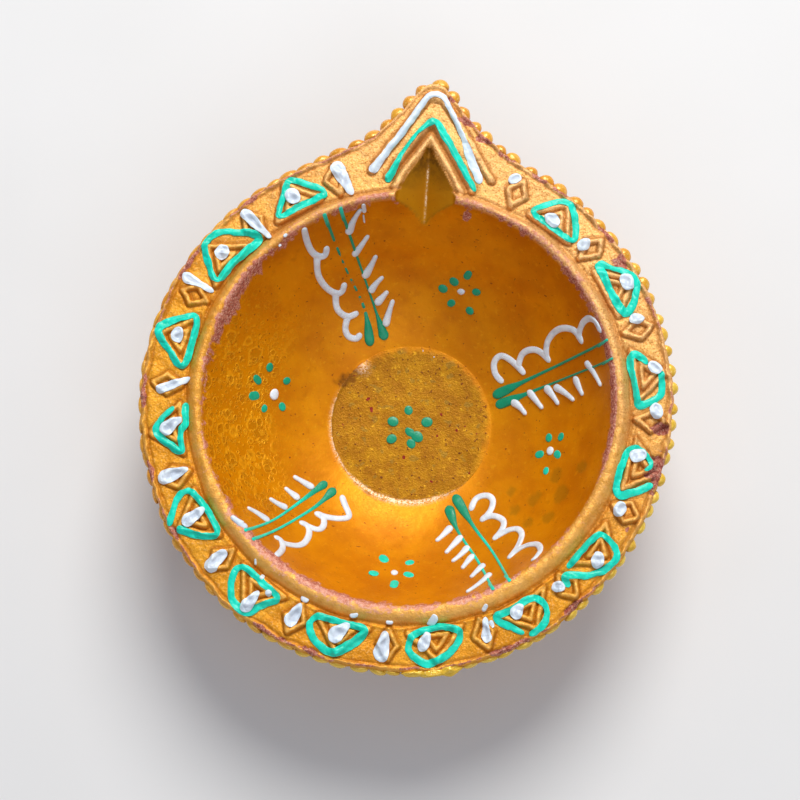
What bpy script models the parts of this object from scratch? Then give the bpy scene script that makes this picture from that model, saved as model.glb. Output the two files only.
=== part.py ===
"""A painted clay diya: a press-moulded oil lamp bowl with a wick spout and raised painted decoration.

The clay is one fired piece: foot, bowl, rim flange, lip, spout with its wick channel, the moulded
triangles, diamonds and chevrons of the rim, and the border of beads round the edge.
The decoration is thick paint piped from a cone. Each piped line or drop is a solid of its own that
lies on the clay, so each is its own object.

Lengths are in millimetres where they carry the factor MM, and in metres once multiplied.
+Z is up, the origin is the centre of the foot's resting face, and the spout points along +Y.
"""

import math

import bmesh
import bpy
from mathutils import Vector

MM = 0.001

# Bowl, foot and flange
FOOT_RADIUS = 16.6 * MM
FOOT_HEIGHT = 1.9 * MM
FLOOR_RADIUS = 12.8 * MM
FLOOR_HEIGHT = 5.0 * MM
MOUTH_RADIUS = 30.7 * MM
MOUTH_HEIGHT = 24.2 * MM
WALL_SAGITTA = 3.2 * MM
WALL_THICKNESS = 4.1 * MM
FLANGE_TOP = 23.6 * MM
FLANGE_THICKNESS = 3.4 * MM
FLANGE_OVERHANG = 4.2 * MM
LIP_TOP = 24.6 * MM
LIP_CREST_RADIUS = 31.75 * MM
LIP_OUTER_RADIUS = 33.0 * MM

# Rim outline: a circle that runs through a small fillet into a pointed spout
RIM_RADIUS = 39.6 * MM
SPOUT_TIP_Y = 50.0 * MM
SPOUT_ROOT_Y = 30.0 * MM
SPOUT_TIP_ROUND = 2.7 * MM
SPOUT_HALF_ANGLE = math.radians(41)
SPOUT_FILLET = 6.5 * MM
SPOUT_AZIMUTH = 90.0
SPOUT_REACH = 22.0

# Where the potter's thumb pressed the rim in a little
DENT_AZIMUTH = -35.0
DENT_DEPTH = 0.55 * MM
DENT_SPREAD = 28.0

# Beads round the edge
BEAD_PITCH = 2.8 * MM
BEAD_HALF_LENGTH = 1.2 * MM
BEAD_HALF_HEIGHT = 1.15 * MM
BEAD_STAND_OUT = 1.2 * MM
BEAD_DROP = 1.35 * MM

# Moulded relief on the flange
RELIEF_HEIGHT = 0.45 * MM
RELIEF_ROOT = 0.3 * MM
RIDGE_FOOT_WIDTH = 1.0 * MM
RIDGE_TOP_WIDTH = 0.45 * MM
MOTIF_RADIUS = 36.5 * MM
MOTIF_STEP = 22.5
FIRST_TRIANGLE = SPOUT_AZIMUTH + 1.5 * MOTIF_STEP
FIRST_DIAMOND = SPOUT_AZIMUTH + MOTIF_STEP
TRIANGLE_COUNT = 14
DIAMOND_COUNT = 15
OUTER_TRIANGLE = ((-3.9, -1.9), (3.9, -1.9), (0.0, 2.6))
INNER_TRIANGLE = ((-1.7, -1.1), (1.7, -1.1), (0.0, 1.0))
DIAMOND = ((0.0, -2.2), (1.5, 0.2), (0.0, 2.2), (-1.5, 0.2))

# Wick channel: half width and depth at distances from its tip towards the bowl
CHANNEL_TIP_Y = 40.5 * MM
CHANNEL_STATIONS = (
    (0.0, 0.1, 0.1),
    (6.8, 4.2, 2.9),
    (10.0, 4.5, 4.25),
    (15.0, 4.7, 6.4),
)
CHANNEL_HEADROOM = 2.5 * MM

# Paint, with the gaps that keep the solids apart
PAINT_GAP = 0.06 * MM
WALL_PAINT_GAP = 0.22 * MM
LINE_WIDTH = 1.1 * MM
LINE_HEIGHT = 0.45 * MM
DROP_HEIGHT = 0.6 * MM
SCALLOP_WIDTH = 0.8 * MM
WALL_LINE_HEIGHT = 0.3 * MM
RIM_PAINT_BASE = FLANGE_TOP + RELIEF_HEIGHT + PAINT_GAP
OVER_PAINT_BASE = RIM_PAINT_BASE + LINE_HEIGHT + PAINT_GAP

# Piped triangle lines, in millimetres (along the rim, outward) from each motif's even place.
# A third number is the line's width there, where the cone lingered.
CLOSED, OPEN = True, False
OUTLINES = (
    (CLOSED, (0.8, 1.1), (3.4, -1.4), (-0.7, -1.8), (-4.8, -1.4), (-3.3, 0.9), (-0.9, 2.8)),
    (CLOSED, (0.0, 3.2), (-2.7, 2.9), (-5.0, 0.3), (-6.0, -2.4, 1.5), (-0.8, -2.0),
     (3.3, -1.9), (2.1, 0.8)),
    (CLOSED, (-0.6, 3.2, 1.7), (-3.1, 0.7), (-4.0, -1.8), (-0.7, -2.3), (4.1, -2.0), (1.7, 1.1)),
    (OPEN, (-3.4, -2.9), (-0.9, -2.9), (0.6, -1.9), (3.6, -1.8), (2.1, 0.0), (-0.4, 1.9), (-3.2, -0.9)),
    (OPEN, (0.3, 2.6, 1.5), (2.6, 0.7), (3.7, -1.8), (0.4, -2.4), (-3.9, -1.4),
     (-4.2, 0.9), (-1.3, 3.5)),
    (CLOSED, (0.8, 3.2, 1.5), (-2.2, 2.9), (-4.1, 0.4), (-3.9, -1.5), (-0.6, -1.8),
     (3.3, -1.2), (1.9, 1.3)),
    (CLOSED, (-1.2, 2.8, 1.3), (-4.6, 0.7, 1.3), (-4.2, -1.6), (-0.4, -1.9),
     (3.5, -1.7, 1.5), (1.4, 1.3, 1.6)),
    (CLOSED, (-3.7, -1.1), (-1.3, -2.2), (1.6, -2.3), (3.7, -1.0), (2.4, 1.2),
     (-1.4, 2.9, 1.4), (-4.0, 1.2)),
    (OPEN, (-0.9, 2.8), (1.5, 2.5), (2.9, 0.4), (1.7, -1.8), (-2.4, -1.6),
     (-4.6, -1.5, 1.4), (-2.1, 2.0, 0.9)),
    (OPEN, (-7.0, -0.2), (-6.1, -1.4, 1.4), (-3.8, 1.0), (-1.4, 2.3), (1.5, 2.0),
     (1.9, -1.8), (-4.6, -2.1)),
    (OPEN, (-0.4, 0.6, 0.6), (0.9, 1.1, 0.8), (2.6, -1.6), (0.9, -3.0), (-3.6, -3.0),
     (-5.0, -1.6, 1.5), (-2.4, 1.8)),
    (OPEN, (1.9, -0.3), (3.2, -1.3, 1.4), (2.3, -2.6), (-3.4, -2.0), (-4.6, -1.6, 1.3),
     (-3.5, 1.5), (-0.2, 1.9)),
    (CLOSED, (-0.7, 2.9), (1.3, 2.3), (3.4, 0.3, 0.8), (4.7, -0.5, 1.6), (0.3, -1.4),
     (-4.1, -1.0, 1.8), (-3.0, 1.2)),
    (CLOSED, (3.6, -1.3), (1.9, 1.7), (-0.2, 3.0), (-2.5, 1.6), (-4.3, -1.1), (0.5, -1.6)),
)
# White drops: head (along, outward), tail (along, outward) and head width, in millimetres
TRIANGLE_DROPS = (
    (-0.1, 0.2, 0.0, 0.9, 2.3), (-0.6, 0.3, -1.8, 0.4, 2.2), (-0.4, 0.1, -1.4, 0.0, 2.1),
    (-0.3, -0.1, -1.4, -2.3, 2.2), (-0.2, 0.8, -0.7, -2.0, 2.0), (0.3, 2.3, 0.3, -0.4, 1.9),
    (-0.5, 0.0, 0.8, -1.9, 2.4), (-1.9, 0.0, -1.0, -1.7, 2.0), (-1.4, -0.9, -0.2, -1.5, 1.8),
    (-1.4, 0.5, -0.4, -0.2, 1.9), (1.4, -1.3, 1.6, -0.9, 2.2), (0.8, 1.1, 1.8, 0.4, 2.0),
    (-0.1, 1.5, 0.8, 1.7, 2.3), (0.0, -0.8, 1.4, -0.7, 2.0),
)
DIAMOND_DROPS = (
    (-0.9, 1.6, -1.8, -2.8, 2.5), (0.0, 1.9, -0.5, -3.3, 1.8), (-2.0, 2.4, -1.8, -2.1, 1.8),
    (0.8, 0.7, -1.1, -3.3, 1.8), (-0.3, 1.5, -0.5, -1.9, 2.3), (-0.2, 1.5, -0.5, -1.3, 2.4),
    (-0.4, 0.5, -0.2, -2.1, 2.1), (-0.8, 1.3, -0.4, -1.9, 2.6), (0.2, 0.6, 1.0, -2.1, 1.6),
    (-1.2, -0.9, -1.0, -0.7, 1.7), (-0.3, -1.0, 0.1, -1.0, 2.0), (1.5, 0.8, 2.6, 0.7, 2.1),
    (1.5, 0.2, 1.1, 1.1, 1.8), (1.2, -0.4, 1.2, 0.7, 1.8), (1.4, 1.9, 0.7, 2.7, 1.7),
)

# Chevrons round the spout, seen from above, in millimetres (x, y and width)
CHEVRON_RIDGES = (
    ((-4.7, 34.4), (0.4, 42.4), (5.6, 33.9)),
    ((-5.9, 35.4), (0.1, 44.3), (7.0, 34.0)),
    ((-8.6, 35.8), (-0.8, 48.4), (1.6, 48.6), (9.8, 35.7)),
)
WHITE_CHEVRON = (
    (-8.4, 35.9, 1.8), (-6.7, 38.5), (-2.8, 44.9), (-0.7, 48.4), (1.1, 48.5), (2.5, 46.8, 0.9),
    (4.9, 42.4, 0.8), (6.1, 39.6, 1.4), (8.1, 35.3, 1.3),
)
TURQUOISE_CHEVRON = (
    (-6.0, 34.6, 1.5), (-4.3, 38.4, 0.7), (-2.4, 41.8, 0.6), (0.2, 44.4, 1.3), (1.7, 43.0, 1.3),
    (4.6, 38.4, 1.2), (7.3, 33.9, 0.8),
)

# Leaf sprigs inside the bowl: two stem lines and, on one side, a chain of scallop lobes.
# A stem is (radius in mm, azimuth in degrees, width in mm) from the lip down to the floor.
# A lobe is (radius in mm, azimuth in degrees) along one stroke, and each lobe runs into the next.
SPRIGS = (
    {
        "stem_a": ((30.3, 118.3, 0.6), (25.3, 118.0, 0.4), (19.3, 116.5, 0.6), (14.9, 120.8, 1.4)),
        "stem_b": ((30.3, 113.5, 0.6), (22.7, 112.4, 0.4), (17.0, 111.6, 0.6), (15.0, 111.4, 1.5)),
        "lobes": (
            ((30.5, 125.2), (28.9, 126.2), (28.0, 125.0), (27.7, 122.8), (28.2, 121.4)),
            ((27.9, 125.4), (26.3, 127.8), (24.3, 127.3), (23.1, 125.0), (22.9, 122.6), (23.6, 120.8)),
            ((23.0, 125.2), (21.6, 127.6), (20.4, 127.2), (19.5, 124.9), (19.4, 121.2)),
            ((19.4, 125.7), (18.4, 129.2), (17.1, 130.1), (16.2, 127.0), (16.4, 124.6)),
        ),
    },
    {
        "stem_a": ((30.3, 22.2, 0.5), (25.6, 23.4, 0.5), (19.4, 24.1, 0.7), (14.5, 23.8, 1.5)),
        "stem_b": ((30.3, 16.8, 0.4), (25.6, 18.0, 0.4), (19.8, 18.2, 0.6), (14.5, 17.2, 1.5)),
        "lobes": (
            ((15.9, 30.0), (15.6, 35.0), (16.4, 41.0), (18.0, 41.4), (18.9, 34.0), (19.4, 28.2)),
            ((19.1, 31.5), (20.2, 35.0), (21.4, 35.4), (22.8, 32.8), (23.5, 27.2)),
            ((23.4, 28.6), (24.2, 32.4), (25.4, 34.2), (26.9, 33.9), (28.1, 30.6), (28.3, 26.4)),
            ((28.2, 28.0), (28.9, 30.4), (29.8, 30.8), (30.4, 28.6), (30.5, 25.6)),
        ),
    },
    {
        "stem_a": ((30.3, -56.0, 0.5), (24.8, -54.5, 0.5), (19.0, -54.9, 0.7), (13.9, -54.2, 1.5)),
        "stem_b": ((30.3, -61.2, 0.5), (24.9, -60.6, 0.5), (18.6, -62.4, 0.6), (15.0, -61.4, 1.5)),
        "lobes": (
            ((16.7, -50.4), (15.8, -45.0), (16.6, -39.5), (18.0, -39.2), (19.0, -44.0), (19.3, -49.6)),
            ((19.2, -48.6), (19.9, -44.8), (21.6, -43.2), (22.6, -45.7), (23.1, -50.6)),
            ((23.1, -49.0), (23.4, -45.0), (24.3, -42.1), (25.7, -43.0), (26.8, -47.5), (27.3, -51.2)),
            ((27.1, -49.6), (27.4, -45.3), (28.5, -42.4), (29.8, -43.6), (30.2, -47.0)),
        ),
    },
    {
        "stem_a": ((30.4, -136.6, 0.6), (26.6, -136.5, 0.5), (21.8, -137.9, 0.6), (16.8, -139.6, 1.3)),
        "stem_b": ((30.4, -133.2, 0.6), (24.9, -133.0, 0.5), (19.6, -132.6, 0.7), (16.4, -133.8, 1.3)),
        "lobes": (
            ((16.0, -127.4), (16.6, -124.0), (17.6, -118.1), (18.6, -119.2), (20.1, -125.6), (20.6, -129.0)),
            ((20.8, -129.6), (20.6, -126.3), (21.6, -123.8), (22.7, -124.2), (23.2, -127.4)),
            ((23.6, -130.4), (23.3, -128.1), (24.2, -125.1), (26.4, -123.9), (28.1, -128.0)),
            ((28.2, -130.8), (28.0, -129.2), (28.8, -126.6), (30.2, -125.8)),
        ),
    },
)


def clear_scene():
    for old in list(bpy.data.objects):
        bpy.data.objects.remove(old, do_unlink=True)


def make_material(name, color, roughness, metallic=0.0):
    material = bpy.data.materials.new(name)
    material.use_nodes = True
    principled = material.node_tree.nodes["Principled BSDF"]
    principled.inputs["Base Color"].default_value = (*color, 1.0)
    principled.inputs["Roughness"].default_value = roughness
    principled.inputs["Metallic"].default_value = metallic
    material.diffuse_color = (*color, 1.0)
    return material


def polar(radius, azimuth, height):
    angle = math.radians(azimuth)
    return Vector((radius * math.cos(angle), radius * math.sin(angle), height))


# Shape of the clay


def rim_field(x, y):
    """Signed distance to the rim outline: below zero inside it."""
    circle = math.hypot(x, y) - RIM_RADIUS
    along = SPOUT_TIP_Y - SPOUT_TIP_ROUND - y
    across = abs(x)
    if along * math.cos(SPOUT_HALF_ANGLE) + across * math.sin(SPOUT_HALF_ANGLE) < 0:
        wedge = math.hypot(along, across)
    else:
        wedge = across * math.cos(SPOUT_HALF_ANGLE) - along * math.sin(SPOUT_HALF_ANGLE)
    wedge = max(wedge - SPOUT_TIP_ROUND, SPOUT_ROOT_Y - y)
    blend = max(SPOUT_FILLET - abs(circle - wedge), 0.0) / SPOUT_FILLET
    return min(circle, wedge) - blend * blend * SPOUT_FILLET / 4


def rim_radius(azimuth):
    """Distance from the axis to the rim outline, found by halving the interval."""
    near, far = 0.8 * RIM_RADIUS, 1.1 * SPOUT_TIP_Y
    for _ in range(40):
        middle = (near + far) / 2
        point = polar(middle, azimuth, 0)
        if rim_field(point.x, point.y) < 0:
            near = middle
        else:
            far = middle
    away = (azimuth - DENT_AZIMUTH + 180) % 360 - 180
    return near - DENT_DEPTH * math.exp(-((away / DENT_SPREAD) ** 2))


def wall_arc():
    """Centre (radius, height) and radius of the arc that the bowl's inner wall follows."""
    chord = math.hypot(MOUTH_RADIUS - FLOOR_RADIUS, MOUTH_HEIGHT - FLOOR_HEIGHT)
    arc_radius = chord * chord / (8 * WALL_SAGITTA) + WALL_SAGITTA / 2
    reach = arc_radius - WALL_SAGITTA
    along = (MOUTH_RADIUS - FLOOR_RADIUS) / chord
    up = (MOUTH_HEIGHT - FLOOR_HEIGHT) / chord
    centre_radius = (FLOOR_RADIUS + MOUTH_RADIUS) / 2 - up * reach
    centre_height = (FLOOR_HEIGHT + MOUTH_HEIGHT) / 2 + along * reach
    return centre_radius, centre_height, arc_radius


def wall_height(radius):
    centre_radius, centre_height, arc_radius = wall_arc()
    return centre_height - math.sqrt(arc_radius**2 - (radius - centre_radius) ** 2)


def wall_frame(radius, azimuth):
    """A point on the bowl's inner wall and the wall's normal there, pointing into the bowl."""
    centre_radius, centre_height, arc_radius = wall_arc()
    height = wall_height(radius)
    inward = (centre_radius - radius) / arc_radius
    upward = (centre_height - height) / arc_radius
    outward_direction = polar(1, azimuth, 0)
    normal = Vector((outward_direction.x * inward, outward_direction.y * inward, upward))
    return polar(radius, azimuth, height), normal


def column_azimuths():
    """Azimuths of the body's columns: even round the bowl and closer together round the spout."""
    spout_columns, bowl_columns = 16, 56
    azimuths = []
    for index in range(spout_columns):
        across = 2 * index / spout_columns - 1
        azimuths.append(SPOUT_AZIMUTH + SPOUT_REACH * (0.45 * across + 0.55 * across**3))
    for index in range(bowl_columns):
        rest = 360 - 2 * SPOUT_REACH
        azimuths.append(SPOUT_AZIMUTH + SPOUT_REACH + rest * index / bowl_columns)
    return azimuths


def outer_wall_rows(edge):
    """Rows up the outside, from the foot to the flange. The spout's share of the width grows like a prow."""
    steps = 5
    low_radius, low_height = FOOT_RADIUS + 0.7 * MM, FOOT_HEIGHT + 0.5 * MM
    high_radius = MOUTH_RADIUS + WALL_THICKNESS
    high_height = FLANGE_TOP - FLANGE_THICKNESS
    chord = math.hypot(high_radius - low_radius, high_height - low_height)
    out_radius = (high_height - low_height) / chord
    out_height = -(high_radius - low_radius) / chord
    rows = []
    for step in range(steps + 1):
        share = step / steps
        bulge = 4 * WALL_SAGITTA * share * (1 - share)
        radius = low_radius + (high_radius - low_radius) * share + bulge * out_radius
        height = low_height + (high_height - low_height) * share + bulge * out_height
        prow = (edge - FLANGE_OVERHANG - high_radius) * share**2.2
        rows.append((radius + prow, height))
    return rows


def inner_wall_rows():
    """Rows down the inside, from the mouth to the floor, at even angles about the wall arc's centre."""
    steps = 7
    centre_radius, centre_height, arc_radius = wall_arc()
    mouth_angle = math.atan2(MOUTH_RADIUS - centre_radius, centre_height - MOUTH_HEIGHT)
    floor_angle = math.atan2(FLOOR_RADIUS - centre_radius, centre_height - FLOOR_HEIGHT)
    rows = []
    for step in range(steps + 1):
        angle = mouth_angle + (floor_angle - mouth_angle) * step / steps
        radius = centre_radius + arc_radius * math.sin(angle)
        rows.append((radius, centre_height - arc_radius * math.cos(angle)))
    return rows


def body_rows(edge):
    """The clay's section (radius, height) from the foot round to the floor, for a rim outline at edge."""
    rows = [(FOOT_RADIUS - 0.6 * MM, 0.0), (FOOT_RADIUS, 0.6 * MM), (FOOT_RADIUS, FOOT_HEIGHT)]
    rows += outer_wall_rows(edge)
    under = FLANGE_TOP - FLANGE_THICKNESS
    rows += [
        (edge - 0.8 * MM, under + 0.2 * MM),
        (edge, under + 0.9 * MM),
        (edge, FLANGE_TOP - 0.35 * MM),
        (edge - 0.4 * MM, FLANGE_TOP),
        (LIP_OUTER_RADIUS + 0.35 * MM, FLANGE_TOP),
        (LIP_OUTER_RADIUS - 0.25 * MM, FLANGE_TOP + 0.65 * MM),
        (LIP_CREST_RADIUS + 0.3 * MM, LIP_TOP),
        (LIP_CREST_RADIUS - 0.5 * MM, LIP_TOP - 0.05 * MM),
    ]
    return rows + inner_wall_rows()


def new_mesh_object(name, bm, material):
    mesh = bpy.data.meshes.new(name)
    bmesh.ops.recalc_face_normals(bm, faces=bm.faces)
    bm.to_mesh(mesh)
    bm.free()
    mesh.materials.append(material)
    part = bpy.data.objects.new(name, mesh)
    bpy.context.scene.collection.objects.link(part)
    return part


def as_helper(part):
    """Marks an object that only adds to or cuts another one."""
    part.hide_render = True
    part.display_type = "WIRE"
    return part


def smooth_shading(part, sharp_angle=40):
    part.data.shade_smooth()
    part.data.set_sharp_from_angle(angle=math.radians(sharp_angle))


def turned_body(material):
    """Foot, bowl, flange and lip as one closed skin of rows and columns."""
    bm = bmesh.new()
    columns = []
    for azimuth in column_azimuths():
        rows = body_rows(rim_radius(azimuth))
        columns.append([bm.verts.new(polar(radius, azimuth, height)) for radius, height in rows])
    foot_centre = bm.verts.new((0, 0, 0))
    floor_centre = bm.verts.new((0, 0, FLOOR_HEIGHT))
    for index, column in enumerate(columns):
        beside = columns[(index + 1) % len(columns)]
        bm.faces.new((foot_centre, beside[0], column[0]))
        bm.faces.new((floor_centre, column[-1], beside[-1]))
        for row in range(len(column) - 1):
            bm.faces.new((column[row], beside[row], beside[row + 1], column[row + 1]))
    return new_mesh_object("clay_body", bm, material)


# Lines swept along a path: moulded ridges and piped paint

END_SHARE = 0.6
ROUND_SECTION = ((-0.5, 0.0), (-0.38, 0.65), (0.0, 1.0), (0.38, 0.65), (0.5, 0.0))
RIDGE_SECTION = ((-0.5, 0.0), (-RIDGE_TOP_WIDTH / RIDGE_FOOT_WIDTH / 2, 1.0),
                 (RIDGE_TOP_WIDTH / RIDGE_FOOT_WIDTH / 2, 1.0), (0.5, 0.0))


def smooth_path(points, closed, steps=2):
    """A Catmull-Rom curve through points, each a tuple of numbers that are all smoothed alike."""
    count = len(points)
    spans = count if closed else count - 1
    path = []
    for span in range(spans):
        if closed:
            before, start, end, after = (points[(span + shift) % count] for shift in (-1, 0, 1, 2))
        else:
            before, start = points[max(span - 1, 0)], points[span]
            end, after = points[span + 1], points[min(span + 2, count - 1)]
        for step in range(steps):
            t = step / steps
            path.append(tuple(
                s + 0.5 * t * (e - b + t * (2 * b - 5 * s + 4 * e - a + t * (3 * s - b - 3 * e + a)))
                for b, s, e, a in zip(before, start, end, after)
            ))
    if not closed:
        path.append(points[-1])
    return path


def turning_radius(before, here, after):
    """Radius of the circle through three points, large where they are in line."""
    double_area = (here - before).cross(after - here).length
    sides = (here - before).length * (after - here).length * (after - before).length
    return sides / (2 * double_area) if double_area > 1e-12 else 1.0


def add_swept_line(bm, stations, closed, section, height):
    """Sweeps section along stations, each (point, normal, width). Open lines get rounded, lower ends."""
    count = len(stations)
    rings = []
    for index, (point, normal, width) in enumerate(stations):
        if closed:
            before, after = stations[index - 1][0], stations[(index + 1) % count][0]
        else:
            before, after = stations[max(index - 1, 0)][0], stations[min(index + 1, count - 1)][0]
        forward = (after - before).normalized()
        side = normal.cross(forward).normalized()
        is_end = not closed and index in (0, count - 1)
        limit = 1.0 if is_end else 0.85 * turning_radius(before, point, after)
        turns_left = (point - before).cross(after - point).dot(normal) > 0
        ring = []
        for across, up in section:
            offset = across * width
            if (offset > 0) == turns_left:
                offset = math.copysign(min(abs(offset), limit), offset)
            rise = up * height * (END_SHARE if is_end else 1.0)
            ring.append(bm.verts.new(point + side * offset + normal * rise))
        rings.append(ring)
    for index in range(count if closed else count - 1):
        here, there = rings[index], rings[(index + 1) % count]
        for corner in range(len(section)):
            beyond = (corner + 1) % len(section)
            bm.faces.new((here[corner], here[beyond], there[beyond], there[corner]))
    if not closed:
        bm.faces.new(rings[0])
        bm.faces.new(list(reversed(rings[-1])))


def with_round_ends(stations):
    """Adds a narrow station beyond each end of an open line, so that it ends in a rounded tip."""
    def tip(end, inner):
        point, normal, width = end
        outward = (point - inner[0]).normalized()
        return point + outward * width * 0.35, normal, width * 0.45
    return [tip(stations[0], stations[1]), *stations, tip(stations[-1], stations[-2])]


def motif_point(azimuth, along, outward, height):
    """A point given in millimetres along the rim and outward from a motif's even place."""
    radius = MOTIF_RADIUS + outward * MM
    return polar(radius, azimuth + math.degrees(along * MM / radius), height)


def drop_stations(head, tail, width):
    """Stations of a teardrop: a round head that narrows towards the tail."""
    axis = tail - head
    length = axis.length
    direction = axis.normalized()
    up = Vector((0, 0, 1))
    stations = []
    for along, share in ((-0.46, 0.42), (-0.25, 0.86), (0.0, 1.0), (0.3, 0.86)):
        stations.append((head + direction * width * along, up, width * share))
    reach = max(length, 0.55 * width)
    for share, thin in ((0.62, 0.55), (1.0, 0.28)):
        place = width * 0.3 + (reach - width * 0.3) * share
        stations.append((head + direction * place, up, width * thin))
    return stations


# Clay body


def relief_on_flange(material):
    """The moulded ridges and the beads, as one helper object of separate closed bodies."""
    bm = bmesh.new()
    up = Vector((0, 0, 1))
    root = FLANGE_TOP - RELIEF_ROOT
    height = RELIEF_HEIGHT + RELIEF_ROOT

    def add_ridge(points, closed):
        stations = [(point, up, RIDGE_FOOT_WIDTH) for point in points]
        add_swept_line(bm, stations, closed, RIDGE_SECTION, height)

    for index in range(TRIANGLE_COUNT):
        azimuth = FIRST_TRIANGLE + index * MOTIF_STEP
        for triangle in (OUTER_TRIANGLE, INNER_TRIANGLE):
            add_ridge([motif_point(azimuth, *corner, root) for corner in blunted(triangle)], closed=True)
    for index in range(DIAMOND_COUNT):
        azimuth = FIRST_DIAMOND + index * MOTIF_STEP
        add_ridge([motif_point(azimuth, *corner, root) for corner in DIAMOND], closed=True)
    for ridge in CHEVRON_RIDGES:
        add_ridge([Vector((x * MM, y * MM, root)) for x, y in ridge], closed=False)
    add_beads(bm)
    return as_helper(new_mesh_object("relief_helper", bm, material))


def blunted(corners, cut=0.2):
    """A closed outline with each corner replaced by two points on its sides."""
    points = []
    for index, corner in enumerate(corners):
        for neighbour in (corners[index - 1], corners[(index + 1) % len(corners)]):
            points.append(tuple(c + cut * (n - c) for c, n in zip(corner, neighbour)))
    return points


def rim_walk(samples=1440):
    """Points along the rim outline and the distance walked to each."""
    azimuths = [360 * index / samples for index in range(samples + 1)]
    points = [polar(rim_radius(azimuth), azimuth, 0) for azimuth in azimuths]
    walked = [0.0]
    for before, after in zip(points, points[1:]):
        walked.append(walked[-1] + (after - before).length)
    return points, walked


def add_beads(bm):
    """Oval beads, evenly spaced along the rim outline and half sunk in the flange's edge."""
    points, walked = rim_walk()
    count = round(walked[-1] / BEAD_PITCH)
    index = 0
    for bead in range(count):
        target = walked[-1] * bead / count
        while walked[index + 1] < target:
            index += 1
        along = (points[index + 1] - points[index]).normalized()
        place = points[index] + along * (target - walked[index])
        place.z = FLANGE_TOP - BEAD_DROP
        outward = Vector((along.y, -along.x, 0))
        ball = bmesh.ops.create_uvsphere(bm, u_segments=6, v_segments=4, radius=1.0)
        for vertex in ball["verts"]:
            x, y, z = vertex.co
            vertex.co = place + along * (x * BEAD_HALF_LENGTH) + outward * (y * BEAD_STAND_OUT)
            vertex.co.z += z * BEAD_HALF_HEIGHT


def channel_cutter(material):
    """A V-shaped wedge that leaves the wick channel from the spout down into the bowl."""
    bm = bmesh.new()
    rings = []
    for along, half_width, depth in CHANNEL_STATIONS:
        y = CHANNEL_TIP_Y - along * MM
        wide, deep = half_width * MM, depth * MM
        corners = (
            (0, FLANGE_TOP - deep),
            (wide, FLANGE_TOP),
            (wide, FLANGE_TOP + CHANNEL_HEADROOM),
            (-wide, FLANGE_TOP + CHANNEL_HEADROOM),
            (-wide, FLANGE_TOP),
        )
        rings.append([bm.verts.new((x, y, z)) for x, z in corners])
    for here, there in zip(rings, rings[1:]):
        for corner in range(len(here)):
            beyond = (corner + 1) % len(here)
            bm.faces.new((here[corner], here[beyond], there[beyond], there[corner]))
    bm.faces.new(rings[0])
    bm.faces.new(list(reversed(rings[-1])))
    return as_helper(new_mesh_object("channel_helper", bm, material))


def add_boolean(part, helper, operation):
    modifier = part.modifiers.new(operation.lower(), "BOOLEAN")
    modifier.object = helper
    modifier.operation = operation
    modifier.solver = "MANIFOLD"


def make_clay_body(material):
    body = turned_body(material)
    add_boolean(body, relief_on_flange(material), "UNION")
    add_boolean(body, channel_cutter(material), "DIFFERENCE")
    smooth_shading(body)


# Paint


def paint_object(name, stations, closed, height, material):
    bm = bmesh.new()
    if not closed:
        stations = with_round_ends(stations)
    add_swept_line(bm, stations, closed, ROUND_SECTION, height)
    part = new_mesh_object(name, bm, material)
    smooth_shading(part, sharp_angle=60)
    return part


def piped_triangle(index):
    """The stations of one turquoise triangle line, and whether it is closed."""
    closed, *points = OUTLINES[index]
    azimuth = FIRST_TRIANGLE + index * MOTIF_STEP
    full = [(*point, LINE_WIDTH / MM)[:3] for point in points]
    up = Vector((0, 0, 1))
    stations = []
    for along, outward, width in smooth_path(full, closed, steps=3):
        stations.append((motif_point(azimuth, along, outward, RIM_PAINT_BASE), up, width * MM))
    return stations, closed


def crosses_line(drop, lines):
    """Whether a drop's plan comes near any of the lines' plans."""
    for point, _, width in drop:
        for line in lines:
            for other, _, line_width in line:
                if (point - other).xy.length < (width + line_width) / 2 + 0.35 * MM:
                    return True
    return False


def make_rim_paint(turquoise, white):
    lines = []
    for index in range(TRIANGLE_COUNT):
        stations, closed = piped_triangle(index)
        lines.append(stations)
        paint_object(f"triangle_line_{index + 1:02d}", stations, closed, LINE_HEIGHT, turquoise)
    groups = (
        ("triangle_drop", FIRST_TRIANGLE, TRIANGLE_DROPS),
        ("diamond_drop", FIRST_DIAMOND, DIAMOND_DROPS),
    )
    for name, first, drops in groups:
        for index, (head_along, head_out, tail_along, tail_out, width) in enumerate(drops):
            azimuth = first + index * MOTIF_STEP
            head = motif_point(azimuth, head_along, head_out, 0)
            tail = motif_point(azimuth, tail_along, tail_out, 0)
            stations = drop_stations(head, tail, width * MM)
            base = OVER_PAINT_BASE if crosses_line(stations, lines) else RIM_PAINT_BASE
            lifted = [(point + Vector((0, 0, base)), normal, wide) for point, normal, wide in stations]
            bm = bmesh.new()
            add_swept_line(bm, lifted, False, ROUND_SECTION, DROP_HEIGHT)
            smooth_shading(new_mesh_object(f"{name}_{index + 1:02d}", bm, white), sharp_angle=60)


def make_chevron(name, points, material):
    full = [(*point, LINE_WIDTH / MM)[:3] for point in points]
    up = Vector((0, 0, 1))
    stations = [(Vector((x * MM, y * MM, RIM_PAINT_BASE)), up, width * MM)
                for x, y, width in smooth_path(full, False, steps=3)]
    paint_object(name, stations, False, LINE_HEIGHT, material)


def wall_stations(points, widths):
    stations = []
    for (radius, azimuth), width in zip(points, widths):
        place, normal = wall_frame(radius, azimuth)
        stations.append((place + normal * WALL_PAINT_GAP, normal, width))
    return stations


def make_stem(name, stem, material):
    curve = smooth_path(stem, False, steps=3)
    points = [(radius * MM, azimuth) for radius, azimuth, _ in curve]
    widths = [width * MM for _, _, width in curve]
    paint_object(name, wall_stations(points, widths), False, WALL_LINE_HEIGHT, material)


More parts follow.
